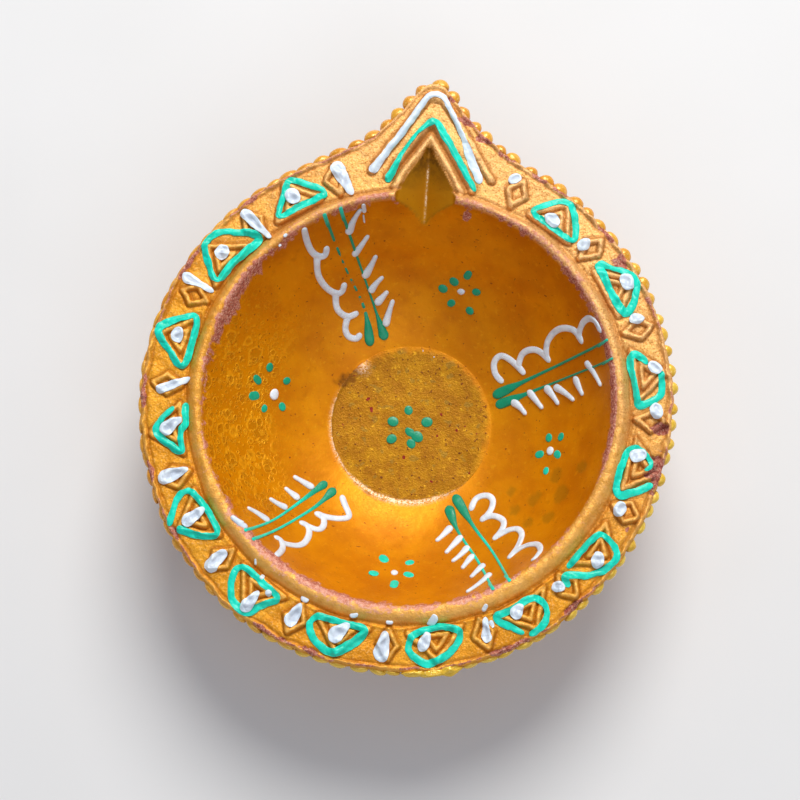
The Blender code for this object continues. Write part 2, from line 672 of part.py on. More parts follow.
def make_scallops(name, lobes, material):
    """Each lobe is its own stroke, and the strokes are fused where each runs into the next."""
    strokes = []
    for number, lobe in enumerate(lobes, start=1):
        points = [(radius * MM, azimuth) for radius, azimuth in smooth_path(lobe, False, steps=2)]
        stations = wall_stations(points, [SCALLOP_WIDTH] * len(points))
        stroke_name = name if number == 1 else f"{name}_lobe_{number}_helper"
        strokes.append(paint_object(stroke_name, stations, False, WALL_LINE_HEIGHT, material))
    for stroke in strokes[1:]:
        as_helper(stroke)
        add_boolean(strokes[0], stroke, "UNION")


def make_sprig(number, sprig, turquoise, white):
    for stem in ("stem_a", "stem_b"):
        make_stem(f"sprig_{number}_{stem}", sprig[stem], turquoise)
    make_scallops(f"sprig_{number}_scallops", sprig["lobes"], white)


def build():
    clear_scene()
    clay = make_material("painted_clay", (0.60, 0.27, 0.03), 0.42)
    turquoise = make_material("turquoise_paint", (0.01, 0.58, 0.40), 0.3)
    white = make_material("white_paint", (0.78, 0.80, 0.86), 0.3)
    make_clay_body(clay)
    make_rim_paint(turquoise, white)
    make_chevron("spout_chevron_white", WHITE_CHEVRON, white)
    make_chevron("spout_chevron_turquoise", TURQUOISE_CHEVRON, turquoise)
    for number, sprig in enumerate(SPRIGS, start=1):
        make_sprig(number, sprig, turquoise, white)


build()
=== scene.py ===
"""The finished look of a painted clay diya: fine clay surface, beads, piped paint, materials and light.

The clay is one closed skin of rows and columns, as in the CAD, but fine enough for the moulded relief,
the worn lip and the wick channel. The piped paint starts from the CAD's own strokes, which are made
smooth and laid down on the fine clay. Lengths are in millimetres until a mesh is made.
"""
import math

import bmesh
import bpy
import numpy as np
from mathutils import Matrix, Vector


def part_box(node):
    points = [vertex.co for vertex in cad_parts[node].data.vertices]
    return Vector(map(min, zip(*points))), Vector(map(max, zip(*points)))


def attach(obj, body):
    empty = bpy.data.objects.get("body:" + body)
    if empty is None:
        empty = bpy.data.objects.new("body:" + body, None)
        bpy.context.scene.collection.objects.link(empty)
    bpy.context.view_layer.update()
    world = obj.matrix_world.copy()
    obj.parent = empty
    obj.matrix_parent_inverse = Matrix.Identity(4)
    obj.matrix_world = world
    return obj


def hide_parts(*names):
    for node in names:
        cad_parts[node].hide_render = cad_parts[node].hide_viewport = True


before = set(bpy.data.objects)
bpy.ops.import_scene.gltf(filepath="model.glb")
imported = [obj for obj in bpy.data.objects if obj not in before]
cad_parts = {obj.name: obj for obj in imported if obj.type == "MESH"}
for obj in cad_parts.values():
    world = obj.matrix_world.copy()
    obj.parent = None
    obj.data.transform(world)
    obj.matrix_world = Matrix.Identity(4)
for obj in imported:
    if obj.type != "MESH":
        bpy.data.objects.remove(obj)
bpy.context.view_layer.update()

MM = 0.001

# Sizes that the CAD also has
FOOT_RADIUS, FOOT_HEIGHT = 16.6, 1.9
FLOOR_RADIUS, FLOOR_HEIGHT = 12.8, 5.0
MOUTH_RADIUS, MOUTH_HEIGHT = 30.7, 24.2
WALL_SAGITTA, WALL_THICKNESS = 3.2, 4.1
FLANGE_TOP, FLANGE_THICKNESS, FLANGE_OVERHANG = 23.6, 3.4, 4.2
RIM_RADIUS = 39.6
SPOUT_TIP_Y, SPOUT_ROOT_Y, SPOUT_TIP_ROUND = 50.0, 30.0, 2.7
SPOUT_HALF_ANGLE, SPOUT_FILLET, SPOUT_AZIMUTH = math.radians(41), 6.5, 90.0
DENT_AZIMUTH, DENT_DEPTH, DENT_SPREAD = -35.0, 0.55, 28.0
BEAD_PITCH, BEAD_DROP = 2.8, 1.35
MOTIF_RADIUS, MOTIF_STEP = 36.5, 22.5
FIRST_TRIANGLE, TRIANGLE_COUNT = SPOUT_AZIMUTH + 1.5 * MOTIF_STEP, 14
FIRST_DIAMOND, DIAMOND_COUNT = SPOUT_AZIMUTH + MOTIF_STEP, 15
OUTER_TRIANGLE = ((-3.9, -1.9), (3.9, -1.9), (0.0, 2.6))
INNER_TRIANGLE = ((-1.7, -1.1), (1.7, -1.1), (0.0, 1.0))
DIAMOND = ((0.0, -2.2), (1.5, 0.2), (0.0, 2.2), (-1.5, 0.2))
CHANNEL_TIP_Y = 40.5
# Sections of the wick channel: distance from its tip, half width and depth
CHANNEL_ALONG = (0.0, 6.8, 10.0, 15.0)
CHANNEL_HALF_WIDTH = (0.1, 4.2, 4.5, 4.7)
CHANNEL_DEPTH = (0.1, 2.9, 4.25, 6.4)
CHEVRON_BAND = ((-4.9, 33.6), (-3.2, 37.1), (0.1, 42.0), (3.4, 37.0), (5.4, 33.4))
CHEVRON_RIDGES = (
    ((-6.1, 35.0), (0.1, 44.3), (7.2, 33.8)),
    ((-8.6, 35.8), (-0.8, 48.2), (1.5, 48.3), (9.9, 35.5)),
)
CHANNEL_GROOVE = ((-5.4, 34.6), (-4.0, 37.0), (0.1, 43.15), (4.2, 37.0), (6.2, 33.9))
WALL_PAINT_GAP = 0.22

# Sizes that only the fine surface has
MOUTH_SHIFT_START, LIP_FOOT_RADIUS = 26.5, 33.5
LIP_GROOVE_RADIUS, FLANGE_LINE_RADIUS = 33.55, 34.1
EDGE_LINE_INSET, EDGE_HOLLOW_INSET = 0.36, 0.88
EDGE_DROP = 1.2
RIDGE_FLANK = 0.32
FLOOR_STEP = 0.22
FLOOR_PIMPLE = (12.2, 134.0)

# How the rim changes round the lamp: azimuth, how far the edge stands beyond the CAD's, a bead's half
# length, how far it stands out, its half height, and how far the mouth's edge stands outside the CAD's
EDGE_SECTORS = (
    (0, 0.15, 0.92, 0.92, 0.9, 0.3), (28, 0.45, 1.15, 1.0, 1.0, 0.65),
    (50, 0.75, 1.32, 1.1, 1.1, 0.85), (66, 0.4, 1.38, 1.2, 1.25, 1.05),
    (78, 0.1, 1.25, 1.1, 1.2, 1.1), (88, 0.55, 1.3, 1.15, 1.05, 1.1),
    (102, -0.45, 1.5, 1.25, 1.25, 1.1), (114, 0.15, 1.65, 1.05, 1.15, 1.1),
    (130, 0.7, 1.75, 0.72, 1.0, 0.9), (158, 0.85, 1.9, 0.6, 0.95, 0.6),
    (190, 0.8, 1.6, 0.58, 0.95, 0.4), (215, 0.95, 1.45, 0.66, 0.95, 0.2),
    (235, 1.1, 1.4, 0.66, 0.95, 0.0), (262, 0.85, 1.45, 0.6, 0.95, 0.0),
    (285, 0.85, 1.45, 0.62, 0.95, 0.0), (308, 0.85, 1.35, 0.7, 0.95, 0.0),
    (330, 0.4, 1.15, 0.85, 0.95, 0.0), (348, 0.15, 0.95, 0.92, 0.9, 0.1),
)

EDGE_BEYOND, BEAD_LENGTH, BEAD_OUT, BEAD_HEIGHT, MOUTH_BEYOND = 1, 2, 3, 4, 5

# Section of the lip and flange, as (radius, height), from the mouth outwards
LIP_SECTION = (
    (30.7, 24.2), (31.1, 24.5), (31.5, 24.62), (32.0, 24.6), (32.5, 24.35), (33.0, 23.9),
    (33.4, 23.62), (33.8, 23.6),
)


# Noise; the last number given to noise and rough is a seed, so that no two of them are alike


def lattice(ix, iy, iz, seed):
    """A repeatable random value from -1 to 1 for each whole-number place."""
    mixed = (ix * 374761393 + iy * 668265263 + iz * 2147483 + seed * 1274126177) & 0xFFFFFFFF
    mixed = ((mixed ^ (mixed >> 13)) * 1274126177) & 0xFFFFFFFF
    return (mixed ^ (mixed >> 16)) / 0x7FFFFFFF - 1.0


def noise(x, y, z, size, seed=0):
    """Smooth noise from -1 to 1 with blobs about size across."""
    cells, shares = [], []
    for axis in (x, y, z):
        scaled = np.asarray(axis, dtype=float) / size
        cell = np.floor(scaled)
        share = scaled - cell
        cells.append(cell.astype(np.int64))
        shares.append(share * share * (3 - 2 * share))
    total = 0.0
    for corner in range(8):
        weight = 1.0
        places = []
        for axis in range(3):
            step = corner >> axis & 1
            weight = weight * (shares[axis] if step else 1 - shares[axis])
            places.append(cells[axis] + step)
        total = total + weight * lattice(*places, seed)
    return total


def rough(x, y, z, size, octaves=3, seed=0):
    """Noise with finer and weaker noise added to it."""
    total, weight = 0.0, 1.0
    for octave in range(octaves):
        total = total + weight * noise(x, y, z, size / 2**octave, seed + octave)
        weight *= 0.5
    return total


def ramp(value, low, high):
    """Smooth step from 0 at low to 1 at high."""
    share = np.clip((value - low) / (high - low), 0, 1)
    return share * share * (3 - 2 * share)


def bell(offset, width, power=2):
    """1 at no offset, then a smooth fall to 0; a higher power gives a flatter top and steeper sides."""
    return np.exp(-((offset / width) ** power))


def turn_between(azimuth, centre):
    """The turn in degrees from the centre azimuth, from -180 to 180."""
    return (azimuth - centre + 180) % 360 - 180


def sector(azimuth, centre, spread, power=2):
    """A bell round one azimuth."""
    return bell(np.abs(turn_between(azimuth, centre)), spread, power)


def share_of_mark(radius, azimuth, mark):
    """How far a place is from a mark's middle, where 1 is the mark's edge.

    A mark is (radius, azimuth, half size along the rim, half size outward).
    """
    mark_radius, mark_azimuth, along, outward = mark
    across = np.radians(turn_between(azimuth, mark_azimuth)) * mark_radius / along
    return np.hypot(across, (radius - mark_radius) / outward)


# Outline and wall


def plan(azimuths, radii):
    """Plan x and y of places given by azimuth in degrees and radius."""
    angle = np.radians(azimuths)
    return radii * np.cos(angle), radii * np.sin(angle)


def polar(x, y):
    """Radius and azimuth in degrees of places given by plan x and y."""
    return np.hypot(x, y), np.degrees(np.arctan2(y, x))


def rim_field(x, y):
    """Distance outside the CAD's outline: a circle and a round-tipped spout, with a fillet between them."""
    circle = np.hypot(x, y) - RIM_RADIUS
    along = SPOUT_TIP_Y - SPOUT_TIP_ROUND - y
    across = np.abs(x)
    beyond_tip = along * math.cos(SPOUT_HALF_ANGLE) + across * math.sin(SPOUT_HALF_ANGLE) < 0
    flank = across * math.cos(SPOUT_HALF_ANGLE) - along * math.sin(SPOUT_HALF_ANGLE)
    wedge = np.where(beyond_tip, np.hypot(along, across), flank)
    wedge = np.maximum(wedge - SPOUT_TIP_ROUND, SPOUT_ROOT_Y - y)
    blend = np.maximum(SPOUT_FILLET - np.abs(circle - wedge), 0) / SPOUT_FILLET
    return np.minimum(circle, wedge) - blend * blend * SPOUT_FILLET / 4


def find_rim_radius(azimuth):
    """Radius of the rim's edge, found by halving, with the dent and the uneven edge added."""
    near, far = np.full(azimuth.shape, 0.8 * RIM_RADIUS), np.full(azimuth.shape, 1.1 * SPOUT_TIP_Y)
    angle = np.radians(azimuth)
    for _ in range(30):
        middle = (near + far) / 2
        inside = rim_field(middle * np.cos(angle), middle * np.sin(angle)) < 0
        near, far = np.where(inside, middle, near), np.where(inside, far, middle)
    dent = DENT_DEPTH * sector(azimuth, DENT_AZIMUTH, DENT_SPREAD)
    wander = 0.12 * noise(40 * np.cos(angle), 40 * np.sin(angle), 0, 7.0, 5)
    return near - dent + wander + edge_sector(azimuth, EDGE_BEYOND)


def edge_sector(azimuth, column):
    """One column of the sector table, blended round the rim."""
    table = np.array(EDGE_SECTORS)
    return np.interp(np.asarray(azimuth, dtype=float) % 360, table[:, 0], table[:, column], period=360)


TABLE_AZIMUTHS = np.linspace(0, 360, 2881)
TABLE_RADII = find_rim_radius(TABLE_AZIMUTHS)


def rim_radius(azimuth):
    return np.interp(np.asarray(azimuth) % 360, TABLE_AZIMUTHS, TABLE_RADII)


def torn_radius(azimuth):
    """The rim's ragged edge, which overhangs the beads here and there."""
    edge = rim_radius(azimuth)
    x, y = plan(azimuth, edge)
    return edge + 0.15 * noise(x, y, 0, 2.2, 28) + 0.11 * rough(x, y, 0, 0.9, 2, 29)


def mouth_shift(azimuth, radius):
    """How far the wall at a CAD radius is moved outward: nothing low down, and most at the mouth."""
    return edge_sector(azimuth, MOUTH_BEYOND) * ramp(radius, MOUTH_SHIFT_START, MOUTH_RADIUS)


def lip_squeeze(azimuth):
    """How much narrower the lip is than the CAD's."""
    width = LIP_FOOT_RADIUS - MOUTH_RADIUS
    return (width - edge_sector(azimuth, MOUTH_BEYOND)) / width


def wall_arc():
    """Centre and radius of the arc that the inner wall's section follows."""
    chord = math.hypot(MOUTH_RADIUS - FLOOR_RADIUS, MOUTH_HEIGHT - FLOOR_HEIGHT)
    arc_radius = chord * chord / (8 * WALL_SAGITTA) + WALL_SAGITTA / 2
    reach = arc_radius - WALL_SAGITTA
    along, up = (MOUTH_RADIUS - FLOOR_RADIUS) / chord, (MOUTH_HEIGHT - FLOOR_HEIGHT) / chord
    middle_radius, middle_height = (FLOOR_RADIUS + MOUTH_RADIUS) / 2, (FLOOR_HEIGHT + MOUTH_HEIGHT) / 2
    return middle_radius - up * reach, middle_height + along * reach, arc_radius


ARC_X, ARC_Z, ARC_RADIUS = wall_arc()


def wall_height(radius):
    return ARC_Z - np.sqrt(ARC_RADIUS**2 - (np.asarray(radius) - ARC_X) ** 2)


# Relief on the flange


def distance_to_path(x, y, corners, closed):
    best = np.full(x.shape, 1e9)
    ends = list(zip(corners, corners[1:]))
    if closed:
        ends.append((corners[-1], corners[0]))
    for (ax, ay), (bx, by) in ends:
        ux, uy = bx - ax, by - ay
        share = np.clip(((x - ax) * ux + (y - ay) * uy) / (ux * ux + uy * uy), 0, 1)
        best = np.minimum(best, np.hypot(x - ax - share * ux, y - ay - share * uy))
    return best


def motif_point(azimuth, along, outward):
    radius = MOTIF_RADIUS + outward
    angle = math.radians(azimuth) + along / radius
    return radius * math.cos(angle), radius * math.sin(angle)


def motif_outlines():
    """Every moulded outline on the flange: corners, whether it is closed, height and half width."""
    outlines = []
    for index in range(TRIANGLE_COUNT):
        azimuth = FIRST_TRIANGLE + index * MOTIF_STEP
        outlines.append(([motif_point(azimuth, *corner) for corner in OUTER_TRIANGLE], True, 0.52, 0.25))
        outlines.append(([motif_point(azimuth, *corner) for corner in INNER_TRIANGLE], True, 0.62, 0.23))
    for index in range(DIAMOND_COUNT):
        azimuth = FIRST_DIAMOND + index * MOTIF_STEP
        outlines.append(([motif_point(azimuth, *corner) for corner in DIAMOND], True, 0.62, 0.25))
    outlines.append((list(CHEVRON_BAND), False, 0.26, 0.46))
    for ridge in CHEVRON_RIDGES:
        outlines.append((list(ridge), False, 0.5, 0.42))
    return outlines


OUTLINES = motif_outlines()


def relief(x, y):
    """Height of the moulded ridges, and masks of their crests and of the hollows beside them."""
    bent_x = x + 0.16 * noise(x, y, 0, 1.7, 11) + 0.06 * noise(x, y, 0, 0.6, 12)
    bent_y = y + 0.16 * noise(x, y, 0, 1.7, 13) + 0.06 * noise(x, y, 0, 0.6, 14)
    height, crest, hollow = (np.zeros(x.shape) for _ in range(3))
    for corners, closed, rise, half_width in OUTLINES:
        xs, ys = zip(*corners)
        near = (x > min(xs) - 2) & (x < max(xs) + 2) & (y > min(ys) - 2) & (y < max(ys) + 2)
        if not near.any():
            continue
        away = distance_to_path(bent_x[near], bent_y[near], corners, closed)
        uneven = 1 + 0.30 * noise(x[near], y[near], 0, 1.8, 15) + 0.16 * noise(x[near], y[near], 0, 0.5, 16)
        top = 1 - ramp(away, half_width * 0.75, half_width + RIDGE_FLANK)
        height[near] = np.maximum(height[near], rise * uneven * top)
        crest[near] = np.maximum(crest[near], 1 - ramp(away, half_width * 0.3, half_width + 0.08))
        foot = bell(away - half_width - RIDGE_FLANK, 0.2)
        hollow[near] = np.maximum(hollow[near] * (1 - top), foot * (1 - crest[near]))
    hollow = hollow * (1 - ramp(height, 0.15, 0.4))
    groove = bell(distance_to_path(x, y, list(CHANNEL_GROOVE), False), 0.36)
    return height * (1 - groove) - 0.22 * groove, crest * (1 - groove), np.maximum(hollow, groove)


# Places where the gold paint is gone and the terracotta shows: distance in from the rim's edge, azimuth,
# half size along the rim, half size outward, depth of the chip
BARE_PATCHES = (
    (1.4, -1.5, 1.2, 1.2, 0.85), (1.2, -10.6, 2.4, 1.8, 0.45), (0.6, -14.0, 1.4, 1.0, 0.5),
    (1.2, 38.3, 1.7, 1.1, 0.35), (0.4, 27.4, 1.2, 0.5, 0.15), (0.3, 46.1, 2.3, 0.5, 0.2),
    (0.3, 58.9, 1.6, 0.4, 0.15), (0.3, 64.5, 1.6, 0.45, 0.2), (0.3, 72.9, 1.6, 0.5, 0.2),
    (0.5, 78.6, 2.4, 0.55, 0.2), (0.5, 82.6, 2.2, 0.6, 0.2), (0.5, 86.6, 1.5, 0.5, 0.15),
    (0.5, -47.0, 1.6, 0.6, 0.3), (0.4, -63.5, 2.9, 0.55, 0.3), (0.5, -107.0, 1.9, 0.55, 0.3),
    (0.4, -112.5, 1.3, 0.35, 0.15), (0.4, -118.5, 1.8, 0.35, 0.15), (0.4, -145.7, 1.6, 0.4, 0.15),
    (0.4, -160.6, 1.7, 0.4, 0.15), (0.4, 182.0, 2.4, 0.4, 0.15), (0.4, 133.0, 2.6, 0.4, 0.12),
    (0.4, 152.0, 2.4, 0.4, 0.12), (1.6, -26.0, 0.6, 0.4, 0.1),
)


def patch_mask(x, y, patches):
    """How bare each place is, and how deep its chip is."""
    radius, azimuth = polar(x, y)
    ragged = rough(x, y, 0, 1.1, 3, 31)
    bare, depth = np.zeros(x.shape), np.zeros(x.shape)
    for inset, patch_azimuth, along, outward, chip in patches:
        patch_radius = float(rim_radius(patch_azimuth)) - inset
        away = share_of_mark(radius, azimuth, (patch_radius, patch_azimuth, along, outward))
        mask = ramp(1.15 - away + 0.45 * ragged, 0.1, 0.45)
        bare = np.maximum(bare, mask)
        depth = np.maximum(depth, mask * chip)
    return bare, depth


def channel_height(x, y):
    """Height of the wick channel's surface, far above the clay where there is no channel."""
    along = CHANNEL_TIP_Y - y
    half_width = np.interp(along, CHANNEL_ALONG, CHANNEL_HALF_WIDTH)
    half_width = np.maximum(half_width, 0.85 * np.sqrt(np.clip(along, 0.01, None)))
    depth = np.maximum(np.interp(along, CHANNEL_ALONG, CHANNEL_DEPTH), 0.9 * ramp(along, 0, 0.6))
    across = np.sqrt(x * x + 0.16**2)
    inside = FLANGE_TOP - depth * (1 - across / half_width)
    height = np.where(across < half_width, inside, FLANGE_TOP + 3.0 * (across - half_width))
    return np.where((along > 0) & (y > 0), height, 99.0)


def rim_surface(x, y):
    """Height of the lip, flange and relief, with masks for the material."""
    radius, azimuth = polar(x, y)
    from_edge = torn_radius(azimuth) - radius
    on_lip = LIP_FOOT_RADIUS - (LIP_FOOT_RADIUS - radius) / lip_squeeze(azimuth)
    radius = np.where(radius < LIP_FOOT_RADIUS, on_lip, radius)
    wobble = 0.18 * noise(x, y, 0, 4.0, 21)
    section_radius, section_height = zip(*LIP_SECTION)
    base = np.interp(radius + wobble * ramp(radius, 31, 32), section_radius, section_height)
    base = base + 0.09 * rough(x, y, 0, 3.0, 2, 22) + 0.045 * rough(x, y, 0, 0.7, 2, 23)
    south_east = sector(azimuth, -65, 42)
    base = base + (0.05 + 0.13 * south_east) * bell(radius + wobble - FLANGE_LINE_RADIUS, 0.24)
    base = base - 0.35 * ramp(0.5 - from_edge, 0, 0.5)
    lip = 1 - ramp(radius, 32.9, 33.5)
    height, crest, hollow = relief(x, y)
    on_flange = (1 - lip) * ramp(from_edge, 0.5, 1.0)
    height, crest, hollow = height * on_flange, crest * on_flange, hollow * on_flange
    edge_line = bell(from_edge - EDGE_LINE_INSET - 0.14 * noise(x, y, 0, 1.2, 24), 0.22)
    edge_rise = edge_line * np.clip(0.26 + 0.34 * rough(x, y, 0, 1.0, 3, 25), 0, 0.6)
    edge_hollow = bell(from_edge - EDGE_HOLLOW_INSET - 0.1 * noise(x, y, 0, 1.6, 30), 0.22)
    edge_bare = edge_line * ramp(noise(x, y, 0, 3.1, 32) + 0.6 * noise(x, y, 0, 0.8, 33), -0.1, 0.35)
    bare, chip = patch_mask(x, y, BARE_PATCHES)
    crumble = bare * 0.24 * rough(x, y, 0, 0.7, 3, 26)
    upper_right = sector(azimuth, 60, 32)
    lip_groove = bell(radius + wobble - LIP_GROOVE_RADIUS, 0.24) * (1 - 0.65 * upper_right)
    top = base + height + edge_rise - 0.10 * hollow - 0.16 * edge_hollow - 0.24 * lip_groove
    top = top - chip * 0.6 + crumble + 0.03 * lip * rough(x, y, 0, 0.8, 3, 27)
    # Painted highlight along the lip's crest, strongest at the bottom.
    south = sector(azimuth, -95, 62, 4)
    lip_highlight = lip * ramp(radius, 30.7, 31.1) * (0.45 + 0.45 * noise(x, y, 0, 0.7, 34) + 0.85 * south)
    # The crest mask carries painted highlights and the hollow mask painted shade; both only change the
    # colour.
    masks = {
        "crest": np.maximum(np.maximum(crest, 0.9 * edge_line), lip_highlight),
        "hollow": np.clip(hollow + 0.7 * edge_hollow + 0.8 * lip_groove + 1.1 * chip, 0, 1),
        "bare": np.maximum(np.maximum(bare, 0.75 * edge_bare), lip_wear(x, y, radius)),
    }
    return top, masks


def spout_scuff(x, y):
    """Brown scuffs on the ridge at the left of the channel, and painted shade on the ridge round its tip.
    """
    ridge = 1 - ramp(distance_to_path(x, y, [(-5.5, 36.0), (0.0, 43.6), (1.6, 41.6)], False), 0.4, 1.0)
    return np.clip(ridge * (0.8 + 0.6 * noise(x, y, 0, 0.8, 44)), 0, 1)


def channel_darkening_and_highlight(x, y, in_channel):
    """How dark the channel is towards its tip, and a painted highlight along its bottom."""
    dark = in_channel * ramp(y + 0.35 * np.abs(x), 33.5, 39.0)
    line = in_channel * bell(x, 0.17) * (1 - ramp(y, 36.5, 38.5)) * (0.8 + 0.4 * noise(x, y, 0, 0.9, 45))
    return dark, np.clip(line, 0, 1)


def lip_wear(x, y, radius):
    """Terracotta along the lip's inner edge: dotted, with more of it at the left and the bottom.

    A band of it runs along the edge at the right, and it is mottled over the lip's top.
    """
    azimuth = np.degrees(np.arctan2(y, x))
    angle = np.radians(azimuth)
    lower_left = sector(azimuth, -112, 40)
    top = sector(azimuth, 88, 62, 4)
    upper_left = sector(azimuth, 152, 20)
    right = sector(azimuth, 8, 27, 4)
    upper_right = sector(azimuth, 62, 34, 4)
    much = 0.42 + 0.30 * noise(30 * np.cos(angle), 30 * np.sin(angle), 0, 7.0, 41)
    much = much + 0.22 * upper_right + 0.45 * upper_left + 0.45 * lower_left
    reach = 0.25 + 0.75 * much + 0.55 * lower_left
    outward = ramp(30.9 + reach - radius + 0.6 * rough(x, y, 0, 1.1, 3, 42), 0, 0.9)
    down = 0.10 + 0.75 * upper_left + 0.25 * lower_left + 0.30 * right
    inward = ramp(radius - (30.45 - down) + 0.45 * rough(x, y, 0, 1.1, 3, 43) * (1 - 0.7 * right), 0, 0.4)
    dotted = outward * inward * (0.38 + 0.5 * much)
    band = right * inward * (1 - ramp(radius, 30.85, 31.2))
    over_lip = ramp(radius, 30.4, 30.9) * (1 - ramp(radius, 32.2, 33.0))
    mottled = over_lip * (0.17 + 0.27 * top + 0.16 * lower_left) * (1 + 0.5 * rough(x, y, 0, 1.6, 3, 46))
    dotted = np.maximum(dotted, mottled)
    spot_x, spot_y = plan(77.7, 30.9)
    spot = 1 - ramp(np.hypot(x - spot_x, (y - spot_y) * 1.4), 0.5, 0.9)
    return np.clip(np.maximum(np.maximum(dotted, band), spot), 0, 1)


# Marks on the wall and floor


OLIVE_BLOTCHES = (
    (24.5, -18, 1.5, 1.0), (26.5, -24, 1.9, 1.1), (23.3, -29, 1.7, 0.9), (21.8, -37, 1.3, 0.8),
    (26.9, -33, 1.4, 0.9), (24.8, -38, 1.2, 0.8), (19.5, -31, 1.0, 0.7), (27.8, -14, 1.2, 0.8),
)


def wall_marks(x, y, z):
    """Push along the wall's normal, where the paint is full of bubbles, and the olive blotches."""
    radius, azimuth = polar(x, y)
    push = 0.10 * rough(x, y, z, 6.0, 2, 61) + 0.02 * rough(x, y, z, 0.8, 2, 62)
    bubbly = sector(azimuth, 186, 36, 4) * ramp(radius, 20.0, 24.0)
    blotch = np.zeros(x.shape)
    for mark in OLIVE_BLOTCHES:
        away = share_of_mark(radius, azimuth, mark)
        blotch = np.maximum(blotch, 0.75 * ramp(1.0 - away + 0.15 * noise(x, y, z, 1.2, 63), 0, 0.35))
    push = push - 0.05 * blotch
    near_mouth = ramp(radius, 29.6, 30.6)
    push = push + near_mouth * 0.1 * rough(x, y, z, 0.9, 3, 64)
    return push, bubbly, blotch


# The clay skin

RIM_COLUMNS, WALL_COLUMNS, OUTSIDE_COLUMNS = 1200, 600, 300
OUTER_WALL_STEPS, FLANGE_STEPS, LIP_STEPS, WALL_STEPS = 18, 48, 15, 42
# Sections of the foot, as (radius, height), and of the flange's underside, as (distance in, height)
FOOT_SECTION = (
    (5.0, 0.25), (10.0, 0.2), (14.5, 0.12), (15.4, 0.0), (16.0, 0.0), (16.5, 0.5), (16.6, 1.4), (16.7, 1.9),
)
UNDERSIDE_SECTION = ((2.6, 0.02), (1.5, 0.06), (0.8, 0.2), (0.35, 0.5), (0.0, 0.9), (0.0, 1.6))
FLOOR_RADII = (
    12.65, 12.5, 12.35, 12.2, 12.0, 11.6, 11.0, 10.2, 9.2, 8.2, 7.2, 6.2, 5.2, 4.2, 3.2, 2.2, 1.2,
)


def even_azimuths(count):
    return SPOUT_AZIMUTH + 360 * np.arange(count) / count


MASK_GROUPS = {
    "masks_a": ("bare", "crest", "hollow", "bowl"),
    "masks_b": ("floor", "bubbly", "blotch", "scuff"),
}


def masks_like(x, **given):
    """All masks for a row, with zeros for those that aren't given."""
    return {name: given.get(name, np.zeros(x.shape)) for names in MASK_GROUPS.values() for name in names}


def outside_rows():
    """Rows of the outer side, from the foot's middle out to the flange's edge."""
    azimuths = even_azimuths(OUTSIDE_COLUMNS)
    edge = rim_radius(azimuths)
    rows = []
    for radius, height in FOOT_SECTION:
        rows.append((np.full(edge.shape, radius), np.full(edge.shape, height)))
    low_radius, low_height = FOOT_RADIUS + 0.7, FOOT_HEIGHT + 0.5
    high_radius, high_height = MOUTH_RADIUS + WALL_THICKNESS, FLANGE_TOP - FLANGE_THICKNESS
    out, up = high_radius - low_radius, high_height - low_height
    chord = math.hypot(out, up)
    for step in range(OUTER_WALL_STEPS + 1):
        share = step / OUTER_WALL_STEPS
        bulge = 4 * WALL_SAGITTA * share * (1 - share)
        radius = low_radius + out * share + bulge * up / chord
        height = low_height + up * share - bulge * out / chord
        radii = radius + (edge - FLANGE_OVERHANG - high_radius) * share**2.2
        rows.append((radii, np.full(edge.shape, height)))
    for inset, rise in UNDERSIDE_SECTION:
        rows.append((edge - inset, np.full(edge.shape, high_height + rise)))
    shaped = []
    for radii, heights in rows:
        x, y = plan(azimuths, radii)
        push = 0.16 * rough(x, y, heights, 5.0, 3, 71) + 0.05 * rough(x, y, heights, 1.2, 2, 72)
        calm = np.where(heights < 0.3, 0.15, 1.0)
        shaped.append((radii + push * calm, np.maximum(heights + 0.3 * push * calm, 0.0)))
    for resting in (3, 4):
        shaped[resting] = (shaped[resting][0], np.zeros(edge.shape))
    result = []
    for radii, heights in shaped:
        x, y = plan(azimuths, radii)
        unpainted = ramp(11.0 - heights + 2.0 * rough(x, y, heights, 7.0, 3, 73), 0, 4.0)
        result.append((x, y, heights, masks_like(x, bare=np.clip(unpainted, 0, 1))))
    return result


def rim_rows():
    """Rows from the flange's edge over the flange and the lip to the mouth."""
    azimuths = even_azimuths(RIM_COLUMNS)
    edge = torn_radius(azimuths)
    mouth = MOUTH_RADIUS + mouth_shift(azimuths, MOUTH_RADIUS)
    lip_outer = LIP_SECTION[-1][0]
    x, y = plan(azimuths, edge)
    side_height = np.full(edge.shape, FLANGE_TOP - EDGE_DROP)
    # The rim's outer side takes a little painted highlight through the crest mask.
    rows = [(x, y, side_height, masks_like(x, crest=np.full(edge.shape, 0.4)))]
    for step in range(FLANGE_STEPS + LIP_STEPS):
        if step < FLANGE_STEPS:
            radii = edge + (lip_outer - edge) * step / FLANGE_STEPS
        else:
            radii = lip_outer + (mouth - lip_outer) * (step - FLANGE_STEPS) / (LIP_STEPS - 1)
        x, y = plan(azimuths, radii)
        z, masks = rim_surface(x, y)
        channel = channel_height(x, y)
        in_channel = ramp(z - channel, -0.05, 0.1)
        z = np.minimum(z, channel)
        dark, line = channel_darkening_and_highlight(x, y, in_channel)
        outside = 1 - in_channel
        masks = {name: mask * outside for name, mask in masks.items()}
        # The channel's bottom line is a painted highlight, laid on through the crest and floor masks.
        masks["crest"] = masks["crest"] + line
        masks["scuff"] = spout_scuff(x, y) * outside + dark
        masks = masks_like(x, bowl=in_channel, floor=line, blotch=0.8 * in_channel, **masks)
        rows.append((x, y, z, masks))
    return rows


